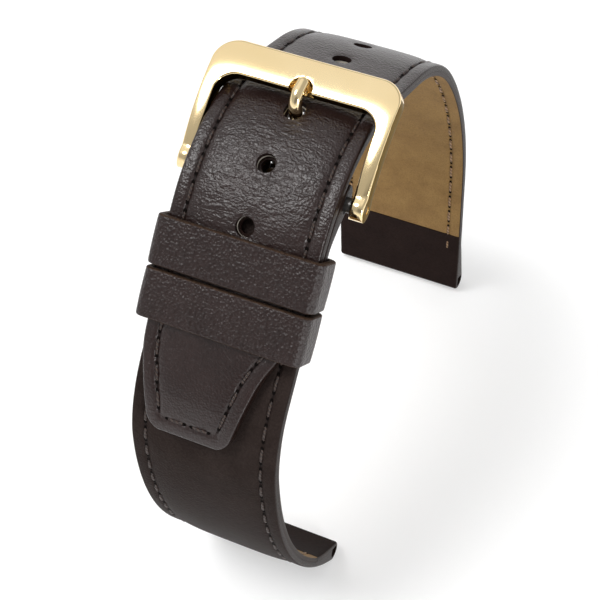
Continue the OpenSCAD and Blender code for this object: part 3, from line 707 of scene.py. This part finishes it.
# A darker copy of the gold: a painted reflection of the dark leather, for the window's walls and the arms'
# sides
DARK_REFLECTION_GOLD = metal("painted_reflection_gold", (0.15, 0.1, 0.036), (0.1, 0.066, 0.022), (0.16, 0.24),
                  rim=(0.62, 0.55, 0.45))
# The same gold made dark and rough for the tongue's hidden root and eye: painted shade
SHADED_GOLD = metal("painted_shade_gold", (0.045, 0.026, 0.01), (0.02, 0.011, 0.004), (0.45, 0.6))
# Steel painted dark, as painted shade on the spring bar in its gap
SHADED_STEEL = metal("steel", (0.17, 0.165, 0.16), (0.12, 0.117, 0.113), (0.3, 0.42), 2600, 0.000006)


# The leathers and linings
def pillow(x, half, puff):
    """How far the back of the leather rises over the padding."""
    w = half - SEAM_IN - PILLOW_IN
    return puff * max(1 - (x / w) ** 2, 0) ** 1.5


def low_long(s, x):
    if long_half(s) - SEAM_IN - PILLOW_IN <= 1 or s <= 2 * LUG_R:
        return 0
    return pillow(x, long_half(s), max(long_puff(s) + long_edge(s) - TOP_T - LINING_T - GLUE, 0))


def low_short(s, x):
    if s < LONG_L + 1:
        return 0
    low = -LAY - short_edge(s) + LINING_T + GLUE
    return pillow(x, short_half(s), max(short_puff(s) - LAY - TOP_T - low, 0))


long_leather = sheet(long_path(), long_half, lean, long_relief, low_long, "long_leather", "strap",
                     "leather", [LEATHER, EDGE, INNER, SEAM])
cut(long_leather, hole_cutters(low=USED_LOW), 2)
bake(long_leather, 50)
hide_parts("long_top_leather")

short_leather = sheet(short_path(), short_half, straight, short_relief, low_short, "short_leather", "strap",
                      "leather", [LOW_LEATHER, EDGE, INNER, SEAM])
side, back, front = (TONGUE_D + SLOT_ROOM) / 2, FOLD_R + SLOT_BACK, FOLD_R + SLOT_FRONT
slot_rings = [[on_strap(BAR_S, BAR_N, (x, y, z)) for x, y in ((-side, -back), (side, -back), (side, front),
                                                              (-side, front))]
              for z in (-2 * FOLD_R, 2 * FOLD_R)]
cut(short_leather, [scratch("cut_slot", *loft(slot_rings)[:2])], 2)
bake(short_leather, 50)
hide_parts("short_top_leather")


def lining_relief(half, spans, tip=False):
    """The lining's rolled edges and sunk seams."""
    def relief(s, x):
        beside = half(s) - abs(x)
        e = min(beside, LONG_L - s) if tip else beside
        r = -edge_drop(e, LINING_EDGE_R)
        if e != beside:
            return r + seam_relief(abs(e - SEAM_IN), x, TIP_SPANS, LINING_GROOVE)
        if spans[0][0] - 1 < s < spans[-1][1] + 1:
            r += seam_relief(abs(e - SEAM_IN), s, spans, LINING_GROOVE)
        return r
    return relief


def lining_path(marks, low):
    return [(line(s, low(s)), line(s, low(s) + LINING_T), s, 1) for s in marks]


long_lining = sheet(lining_path(spread(WRAP_L + BUTT / 2, LONG_L - TIP_R, GAP) + TIP_MARKS, straight),
                    long_half, lean, lining_relief(long_half, LONG_SPANS, True), flat,
                    "long_lining_skin", "strap", "lining", [LINING, LINING_EDGE])
cut(long_lining, hole_cutters(LINING_HOLE_D, PUSH, LINING_LOW), 1)
bake(long_lining, 50)
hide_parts("long_lining")
short_lining = sheet(lining_path(spread(BAR_S + FOLD_L + BUTT / 2, TOTAL - NEAR_WRAP - BUTT / 2, GAP),
                                 lambda s: -LAY - short_edge(s)), short_half, straight,
                     lining_relief(short_half, SHORT_SPANS), flat, "short_lining_skin", "strap", "lining",
                     [LINING, LINING_EDGE])
bake(short_lining, 50)
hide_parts("short_lining")


# The padding
def felt(name, node, marks, half, mid, base, height, holes=False):
    """Lens of felt between the leather and the lining."""
    rings = []
    for i, s in enumerate(marks):
        end = smooth(min(i, len(marks) - 1 - i) / 4)
        w = half(s) - SEAM_IN - FELT_IN
        up = [(w * math.sin(math.radians(a)), max(height(s), 0) * end * math.cos(math.radians(a)) ** 3)
              for a in range(-90, 91, 15)]
        ring = [place(s, x + mid(s), base(s) + 2 * FELT_GAP + h * FELT_FILL) for x, h in up]
        ring += [place(s, x + mid(s), base(s) + FELT_GAP) for x, h in up[1:-1][::-1]]
        rings.append(ring)
    o = mesh_object(name, *loft(rings)[:2], "strap", "padding", [FELT])
    if holes:
        cut(o, hole_cutters())
        bake(o, 50)
    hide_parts(node)


felt("long_felt", "long_padding", spread(2 * LUG_R + 0.3, LONG_L - 5, 0.8), long_half, lean,
     lambda s: LINING_T + GLUE,
     lambda s: long_edge(s) + long_puff(s) - TOP_T - LINING_T - 2 * GLUE, True)
felt("short_felt", "short_padding", spread(LONG_L + 2.5, TOTAL - 2 * LUG_R - 0.3, 0.8), short_half, straight,
     lambda s: -LAY - short_edge(s) + LINING_T + GLUE,
     lambda s: short_puff(s) + short_edge(s) - TOP_T - LINING_T - 2 * GLUE)


# The stitches
def stitch(run, sides=8, steps=8):
    """A short length of thread, and two flat near-black discs of painted shade where it goes in,
    for its needle holes. run gives (s, x, n, up) for a share 0 to 1 of its length."""
    mid = []
    for k in range(steps + 1):
        s, x, n, up = run(k / steps)
        dip = THREAD_DIP * (abs(2 * k / steps - 1) ** 3)
        mid.append(Vector(place(s, x, n + up * (-THREAD_SINK - dip))))
    rings = []
    for k, c in enumerate(mid):
        d = (mid[min(k + 1, steps)] - mid[max(k - 1, 0)]).normalized()
        a = d.cross(Vector((d.z, d.x, -d.y))).normalized()
        b = d.cross(a)
        r = THREAD_R * (1 - 0.25 * abs(2 * k / steps - 1) ** 4) * (1 + 0.06 * math.sin(2.4 * k))
        ring = []
        for j in range(sides):
            turn = 2 * math.pi * j / sides
            ply = 1 + 0.1 * math.cos(2 * (turn + 0.5 * k))
            ring.append(c + r * (math.cos(turn) * a * ply + math.sin(turn) * b))
        rings.append(ring)
    shapes = [loft(rings)]
    # Each needle hole is a flat disc of painted shade
    for t in (0.04, 0.96):
        s, x, n, up = run(t)
        c = Vector(place(s, x, n - 0.09 * up))
        out = (Vector(place(s, x, n + up)) - Vector(place(s, x, n))).normalized()
        along = mid[steps] - mid[0]
        along = (along - out * along.dot(out)).normalized()
        across = out.cross(along)
        ring = [c + along * PIT_L * math.cos(q) + across * PIT_W * math.sin(q)
                for q in [2 * math.pi * j / PIT_SIDES for j in range(PIT_SIDES)]]
        shapes.append((ring, [tuple(range(PIT_SIDES))], [1]))
    return gather(shapes)


def stitches(name, node, body, slot, mat, runs):
    pts, faces, face_mats = gather(stitch(run) for run in runs)
    o = mesh_object(name, pts, faces, body, slot, [mat, PIT_SHADE], face_mats)
    turn_outwards(o.data)
    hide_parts(node)


def side_runs(spans, half, mid, face, up):
    """The stitches of a piece's two long seams, on its outer or its wrist side."""
    def run(a, b, side, t):
        s = a + (b - a) * t
        return s, mid(s) + side * (half(s) - SEAM_IN), face(s), up
    return [lambda t, a=a, b=b, side=side: run(a, b, side, t) for a, b in spans for side in (-1, 1)]


def tip_runs(face, up):
    return [lambda t, a=a, b=b: (TIP_SEAM, lean(TIP_SEAM) + a + (b - a) * t, face, up) for a, b in TIP_SPANS]


stitches("long_stitches", "long_thread", "strap", "thread", THREAD,
         side_runs(LONG_SPANS, long_half, lean, long_edge, 1) + tip_runs(EDGE_T, 1))
stitches("long_lining_stitches", "long_lining_thread", "strap", "lining_thread", TAN_THREAD,
         side_runs(LONG_SPANS, long_half, lean, straight, -1) + tip_runs(0, -1))
stitches("short_stitches", "short_thread", "strap", "thread", THREAD,
         side_runs(SHORT_SPANS, short_half, straight, lambda s: -LAY, 1))
stitches("short_lining_stitches", "short_lining_thread", "strap", "lining_thread", TAN_THREAD,
         side_runs(SHORT_SPANS, short_half, straight, lambda s: -LAY - short_edge(s), -1))

# The loops
KEEPER_IN = BUCKLE_W / 2 + KEEPER_GAP
KEEPER_TOP = EDGE_T + PUFF + KEEPER_GAP
KEEPER_LOW = -LAY - EDGE_T - KEEPER_GAP
LAP_ROUND = ((0.02, 0), (0.12, 0), (LAP_T - 0.16, 0), (LAP_T - 0.05, -0.05), (LAP_T, -0.16))


def rounded(w, h, r, n=10, side=14):
    """Outline of a rounded rectangle, as (x, y, normal x, normal y) from the middle of its lower side."""
    out = []
    sides = [((0, -h), (w - r, -h), -90), ((w, -h + r), (w, h - r), 0), ((w - r, h), (-w + r, h), 90),
             ((-w, h - r), (-w, -h + r), 180), ((-w + r, -h), (0, -h), 270)]
    for i, (p, q, a) in enumerate(sides):
        m = side if i == 2 else side // 2
        nx, ny = math.cos(math.radians(a)), math.sin(math.radians(a))
        for k in range(m):
            out.append((p[0] + (q[0] - p[0]) * k / m, p[1] + (q[1] - p[1]) * k / m, nx, ny))
        if i < 4:
            c = (q[0] - r * nx, q[1] - r * ny)
            for b in [math.radians(a + 90 * k / n) for k in range(n)]:
                out.append((c[0] + r * math.cos(b), c[1] + r * math.sin(b), math.cos(b), math.sin(b)))
    return out


def band(s0, edge_r=0.26):
    """A loop's band, with rounded outer edges. Its cut edges have the second material."""
    mid = (KEEPER_TOP + KEEPER_LOW) / 2
    quarter = [(edge_r * (1 - math.cos(a)), edge_r * (math.sin(a) - 1))
               for a in [math.radians(k) for k in range(0, 91, 18)]]
    outside = quarter + [(KEEPER_W * k / 8, BULGE * math.sin(math.pi * k / 8)) for k in range(1, 8)] \
        + [(KEEPER_W - p, d) for p, d in quarter[::-1]]
    inside = [(KEEPER_W, -KEEPER_T + 0.12), (KEEPER_W - 0.1, -KEEPER_T), (KEEPER_W / 2, -KEEPER_T),
              (0.1, -KEEPER_T), (0, -KEEPER_T + 0.12)]
    half_h = (KEEPER_TOP - KEEPER_LOW) / 2 + KEEPER_T
    rings = []
    for x, y, nx, ny in rounded(KEEPER_IN + KEEPER_T, half_h, KEEPER_T + 0.3):
        wave = 0.012 * math.sin(3 * x + s0) + 0.008 * math.sin(7.3 * x)
        ring = []
        for p, d in outside + inside:
            d += wave * (d > -0.1)
            ring.append(place(s0 + p, x + nx * d, mid + y + ny * d))
        rings.append(ring)
    last = len(outside)
    edge = {*range(4), *range(last - 4, last + 1), last + 3, last + 4}
    return loft(rings, True, lambda i, j: int(j in edge))


def loop(name, s0, body, node):
    """A leather band round the strap with its ends lapped and sewn on the wrist side."""
    lap = [[place(s0 + KEEPER_W / 2 + y, x, KEEPER_LOW - KEEPER_T - z)
            for x, y, nx, ny in rounded(LAP_L / 2 + grow, KEEPER_W / 2 - 0.15 + grow, 0.5, 5, 8)]
           for z, grow in LAP_ROUND]
    pts, faces, face_mats = gather([band(s0), loft(lap)])
    o = mesh_object(name, pts, faces, body, "leather", [KEEPER_LEATHER, LOOP_EDGE], face_mats)
    turn_outwards(o.data)
    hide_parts(node)
    face = KEEPER_LOW - KEEPER_T - LAP_T - 0.12
    runs = [lambda t, x=x, y=y: (s0 + KEEPER_W * (1 - y - LAP_STITCH * t) + 0.1, x * LAP_L * 0.38, face, -1)
            for x in (-1, 1) for y in (0.25, 0.6)]
    stitches(name + "_stitches", node + "_thread", body, "thread", THREAD, runs)


loop("fixed_loop", KEEPER1, "strap", "fixed_keeper")
loop("free_loop_band", KEEPER2, "free_loop", "free_keeper")

# The buckle. LIFT is the angle at which its inner face rests on the tail, in radians
WINDOW_L = FRAME_L - BAR_W
BOW_Z, BOW_Y, INNER_BOW = BOW_TOP - FRAME_BOW, FRAME_L * BOW_SHARE, FRAME_BOW - FRAME_T
REST_Z = BOW_Z + math.sqrt(INNER_BOW ** 2 - (WINDOW_L - BOW_Y) ** 2)
REST_R = math.hypot(WINDOW_L, REST_Z)
PIVOT_R = BROW_R + BAR_N
TAIL_R = BROW_R + EDGE_T + PUFF + 0.12
LIFT = math.acos((PIVOT_R ** 2 + REST_R ** 2 - TAIL_R ** 2) / (2 * PIVOT_R * REST_R)) \
    - math.pi / 2 - math.atan2(REST_Z, WINDOW_L)
FRAME_IN = BUCKLE_W / 2 + ARM_GAP
FRAME_OUT = FRAME_IN + ARM_W


def on_frame(q):
    """A point of the buckle's own frame, in the row frame."""
    return on_strap(BAR_S, BAR_N, (q[0], q[1] * math.cos(LIFT) - q[2] * math.sin(LIFT),
                                   q[1] * math.sin(LIFT) + q[2] * math.cos(LIFT)))


def heights(y):
    """Lower and upper face of the frame at y: the bowed band, and the round eye at the arm's end."""
    lo = BOW_Z + math.sqrt(INNER_BOW ** 2 - (y - BOW_Y) ** 2)
    hi = BOW_Z + math.sqrt(FRAME_BOW ** 2 - (y - BOW_Y) ** 2)
    if y < ARM_END_R:
        c = math.sqrt(max(ARM_END_R ** 2 - y * y, 0.0))
        if y <= 0:
            return -c, c
        lo, hi = min(lo, -c), max(hi, c)
    return lo, hi


def frame_stations(arm_n=24, corner_n=17, bar_n=40):
    """Pairs of points (inner, outer) of the plan, from the left arm's end round to the right one's."""
    left = [((-FRAME_IN, y), (-FRAME_OUT, y))
            for y in [-ARM_END_R * math.cos(math.radians(a)) for a in range(0, 90, 9)]]
    for t in [k / arm_n for k in range(arm_n + 1)]:
        left.append(((-FRAME_IN, t * (WINDOW_L - WINDOW_R)), (-FRAME_OUT, t * (FRAME_L - CORNER_R))))
    for a in [math.radians(90 * k / corner_n) for k in range(1, corner_n)]:
        left.append(((-FRAME_IN + WINDOW_R * (1 - math.cos(a)), WINDOW_L - WINDOW_R * (1 - math.sin(a))),
                     (-FRAME_OUT + CORNER_R * (1 - math.cos(a)), FRAME_L - CORNER_R * (1 - math.sin(a)))))
    bar = [((t * (FRAME_IN - WINDOW_R), WINDOW_L), (t * (FRAME_OUT - CORNER_R), FRAME_L))
           for t in [2 * k / bar_n - 1 for k in range(bar_n + 1)]]
    return left + bar + [((-i[0], i[1]), (-o[0], o[1])) for i, o in left[::-1]]


def buckle_section(w, top_r=0.36, low_r=0.3):
    """Outline of the frame's section: share of the width from inside to outside, share of
    the height, for a width w."""
    h = FRAME_T
    out = []
    for cx, cz, r, start in ((low_r, low_r, low_r, 180), (w - low_r, low_r, low_r, 270),
                             (w - top_r, h - top_r, top_r, 0), (top_r, h - top_r, top_r, 90)):
        if start == 90:
            # The polished upper face is slightly crowned
            out += [(w - top_r - (w - 2 * top_r) * k / 6, h + BULGE * math.sin(math.pi * k / 6))
                    for k in range(1, 6)]
        for a in [math.radians(start + 90 * k / 8) for k in range(9)]:
            out.append((cx + r * math.cos(a), cz + r * math.sin(a)))
    return [(p / w, z / h) for p, z in out]


rings = []
for inner, outer in frame_stations():
    ring = []
    for p, z in buckle_section(math.dist(inner, outer)):
        x, y = [inner[c] + (outer[c] - inner[c]) * p for c in (0, 1)]
        lo, hi = heights(max(y, -ARM_END_R))
        ring.append(on_frame((x, y, lo + (hi - lo) * z)))
    rings.append(ring)
gold_frame = mesh_object("polished_frame", *loft(rings)[:2], "buckle", "gold_metal", [GOLD, DARK_REFLECTION_GOLD])
turn_outwards(gold_frame.data)
notch = []
for z in (NOTCH_FLOOR, 6):
    round_end = [(NOTCH_W / 2 * math.cos(a), WINDOW_L + NOTCH_DEEP + NOTCH_W / 2 * math.sin(a), z)
                 for a in [math.radians(k) for k in range(0, 181, 6)]]
    open_end = [(x, WINDOW_L - 1, z) for x in (-NOTCH_W / 2, NOTCH_W / 2)]
    notch.append([on_frame(q) for q in round_end + open_end])
pin_hole = [[on_frame((x, EYE_R * math.cos(a), EYE_R * math.sin(a)))
             for a in [math.radians(k) for k in range(0, 360, 12)]]
            for x in (-FRAME_OUT - 1, FRAME_OUT + 1)]
cut(gold_frame, [scratch("cut_notch", *loft(notch)[:2]), scratch("cut_pins", *loft(pin_hole)[:2])])
lip = gold_frame.modifiers.new("lip", "BEVEL")
lip.width, lip.segments, lip.limit_method, lip.angle_limit = 0.12 * MM, 3, "ANGLE", math.radians(50)
bake(gold_frame, 40)
# The window's walls and the arms' outer sides get a darker copy of the gold: a painted reflection of the
# dark leather
origin = Vector(on_frame((0, 0, 0)))
ey, ez = Vector(on_frame((0, 1, 0))) - origin, Vector(on_frame((0, 0, 1))) - origin
for face in gold_frame.data.polygons:
    q = face.center / MM - origin
    in_window = abs(q.x) < FRAME_IN + 0.25 and 1 < q.dot(ey) < WINDOW_L + 0.25
    arm_side = abs(face.normal.x) > 0.93 and abs(q.x) > FRAME_OUT - 0.3
    if in_window and abs(face.normal.dot(ez)) < 0.6 or arm_side:
        face.material_index = 1
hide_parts("buckle_frame")

# The tongue: points and headings (y, z, degrees) of its middle line, and how much wider than
# round it is at its root, which is hidden under the tail and painted darker, as painted shade
ROOT, ROOT_WIDTHS = (1, -0.45, -10), (1.38, 1.38, 1.34, 1.24, 1.1)
RISE_R, RISE_A, RISE_L, OVER_R, OVER_A, NOSE_L = 2, 72, 1.7, -1.5, 85, 1
ROD_SIDES, ROOT_RINGS, EYE_SIDES = 32, 9, 48


def bend(p, radius, angle, n=14):
    return [step(p, radius, abs(radius) * math.radians(angle) * i / n) for i in range(n + 1)]


TONGUE_R = TONGUE_D / 2
rise = bend(step(ROOT, 0, SHANK), RISE_R, RISE_A)
over = bend(step(rise[-1], 0, RISE_L), OVER_R, OVER_A)
tip = step(over[-1], 0, NOSE_L)
rod = [(p, TONGUE_R) for p in [step(ROOT, 0, SHANK * q) for q in (0, 0.2, 0.4, 0.6, 0.8)] + rise + over]
rod += [(step(tip, 0, TONGUE_R * math.sin(a)), TONGUE_R * math.cos(a))
        for a in [math.radians(k) for k in (0, 12, 24, 36, 48, 60, 70, 79, 86)]]
rings = []
for (p, r), wide in zip(rod, ROOT_WIDTHS + (1,) * len(rod)):
    h = math.radians(p[2])
    rings.append([on_frame((r * wide * math.cos(a), p[0] - r * math.sin(a) * math.sin(h),
                            p[1] + r * math.sin(a) * math.cos(h)))
                  for a in [2 * math.pi * j / ROD_SIDES for j in range(ROD_SIDES)]])
# Across the eye's wall: share of half its width, share of its height
EYE_IN, EYE_OUT, EYE_W = FOLD_BORE, FOLD_BORE + 0.7, TONGUE_D + 0.4
EYE_SECTION = ((-1, 0), (-0.86, 0.45), (-0.6, 0.85), (-0.3, 1), (0, 1.03), (0.3, 1), (0.6, 0.85),
               (0.86, 0.45), (1, 0), (0.96, 0), (-0.96, 0))
eye = []
for a in [2 * math.pi * k / EYE_SIDES for k in range(EYE_SIDES)]:
    ring = []
    for x, q in EYE_SECTION:
        r = EYE_IN + (EYE_OUT - EYE_IN) * (0.3 + 0.7 * q) if q > 0 else EYE_IN
        ring.append(on_frame((x * EYE_W / 2, r * math.cos(a), r * math.sin(a))))
    eye.append(ring)
pts, faces, _ = gather([loft(rings), loft(eye, True)])
# The rod past its root is bright, with its two caps and the eye's first faces, next to the rod. The root and
# the rest of the eye are painted shade
bright = range(ROD_SIDES * ROOT_RINGS, ROD_SIDES * len(rings))
gold_tongue = mesh_object("polished_tongue", pts, faces, "tongue", "gold_metal", [GOLD, SHADED_GOLD],
                          [int(i not in bright) for i in range(len(faces))])
turn_outwards(gold_tongue.data)
bake(gold_tongue, 45)
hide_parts("buckle_tongue")

# The spring bar keeps the shapes of the part's source, and its steel is painted dark, as painted shade
for name in ("spring_bar_tube", "spring_bar_coil", "spring_bar_pin_left", "spring_bar_pin_right"):
    o = frame["nodes"][name]
    if not o.material_slots:
        o.data.materials.append(SHADED_STEEL)
    for s in o.material_slots:
        s.material = SHADED_STEEL

# The floor: a little light of its own for rays from the camera, metal and glass
FLOOR_GREY, FLOOR_LIFT = 0.68, 0.36
bpy.ops.mesh.primitive_plane_add(size=3, location=(0, 0, -0.02 * MM))
floor = bpy.context.object
floor.name = "floor"
m = bpy.data.materials.new("pale_floor")
m.use_nodes = True
nt = m.node_tree
rays = nt.nodes.new("ShaderNodeLightPath").outputs
seen = calc(nt, "MAXIMUM", rays["Is Camera Ray"], rays["Is Glossy Ray"])
seen = calc(nt, "MAXIMUM", seen, rays["Is Transmission Ray"])
dress(m, {"Base Color": (FLOOR_GREY,) * 3 + (1,), "Roughness": 0.9, "Specular IOR Level": 0.1,
          "Emission Color": (1, 1, 1, 1), "Emission Strength": calc(nt, "MULTIPLY", seen, FLOOR_LIFT)})
floor.data.materials.append(m)

# The studio: height (z of a direction) and brightness of the sky, then soft round patches as
# azimuth, elevation, outer and inner radius in degrees, and what they multiply the sky by:
# a darker one at the photographer's side, and a big soft lamp overhead with a bright middle
SKY = ((0.0, 1), (0.15, 0.9), (0.32, 0.5), (0.95, 0.5))
PATCHES = ((20, 31, 30, 12, 0.4), (-118, 62, 46, 22, 1.9), (-63, 67, 15, 3, 18))
world = bpy.data.worlds.new("studio")
bpy.context.scene.world = world
world.use_nodes = True
nt = world.node_tree
looking = nt.nodes.new("ShaderNodeTexCoord").outputs["Generated"]


def direction(azimuth, elevation):
    """Unit vector: azimuth 0 is towards -Y and 90 towards +X."""
    a, e = math.radians(azimuth), math.radians(elevation)
    return Vector((math.sin(a) * math.cos(e), -math.cos(a) * math.cos(e), math.sin(e)))


def patch(source, azimuth, elevation, outer, inner, grey):
    """Multiplies a colour by grey inside a soft round patch of the sky."""
    dot = add(nt, "ShaderNodeVectorMath", operation="DOT_PRODUCT", Vector=looking)
    dot.inputs[1].default_value = direction(azimuth, elevation)
    amount = mapped(nt, dot.outputs["Value"], math.cos(math.radians(outer)), math.cos(math.radians(inner)),
                    1, grey, "SMOOTHSTEP")
    return add(nt, "ShaderNodeVectorMath", operation="SCALE", Vector=source, Scale=amount).outputs[0]


up_part = add(nt, "ShaderNodeSeparateXYZ", Vector=looking).outputs["Z"]
sky = ramp(nt, up_part, [(z, (grey,) * 3) for z, grey in SKY])
for values in PATCHES:
    sky = patch(sky, *values)
bg = nt.nodes["Background"]
put(nt, bg.inputs["Color"], sky)
bg.inputs["Strength"].default_value = 1


def lamp(name, radiance, azimuth, elevation, distance, width, height):
    """Soft box of a brightness, seen from the strap in a direction. Its sizes are in metres."""
    d = bpy.data.lights.new(name, "AREA")
    d.shape, d.size, d.size_y = "RECTANGLE", width, height
    d.energy = radiance * math.pi * width * height
    o = bpy.data.objects.new(name, d)
    way = direction(azimuth, elevation)
    o.location = Vector((0, 0, 0.05)) + way * distance
    o.rotation_euler = way.to_track_quat("Z", "Y").to_euler()
    bpy.context.scene.collection.objects.link(o)


lamp("right_strip", 20, 58, 14, 0.5, 0.08, 0.2)

# The camera found for the photograph: azimuth, elevation and roll in degrees, then the
# point looked at and the distance in millimetres, and the focal length in pixels
AZ, EL, ROLL, TARGET, DIST, FOCAL = 30.535, 55.7, -7.868, (-1.179, -2.261, 34.468), 199.645, 1499.16
PICTURE_W, SENSOR_W = 600, 36
az, ro = math.radians(AZ), math.radians(ROLL)
back = direction(AZ, EL)
right = Vector((math.cos(az), math.sin(az), 0))
up = back.cross(right)
r = right * math.cos(ro) + up * math.sin(ro)
u = up * math.cos(ro) - right * math.sin(ro)
cam_data = bpy.data.cameras.new("camera")
cam_data.sensor_width = SENSOR_W
cam_data.lens = FOCAL * SENSOR_W / PICTURE_W
cam_data.clip_start = 0.005
cam = bpy.data.objects.new("camera", cam_data)
cam.matrix_world = Matrix.Translation((Vector(TARGET) + back * DIST) * MM) \
    @ Matrix((r, u, back)).transposed().to_4x4()
bpy.context.scene.collection.objects.link(cam)
bpy.context.scene.camera = cam
bpy.context.scene.view_settings.view_transform = "Standard"
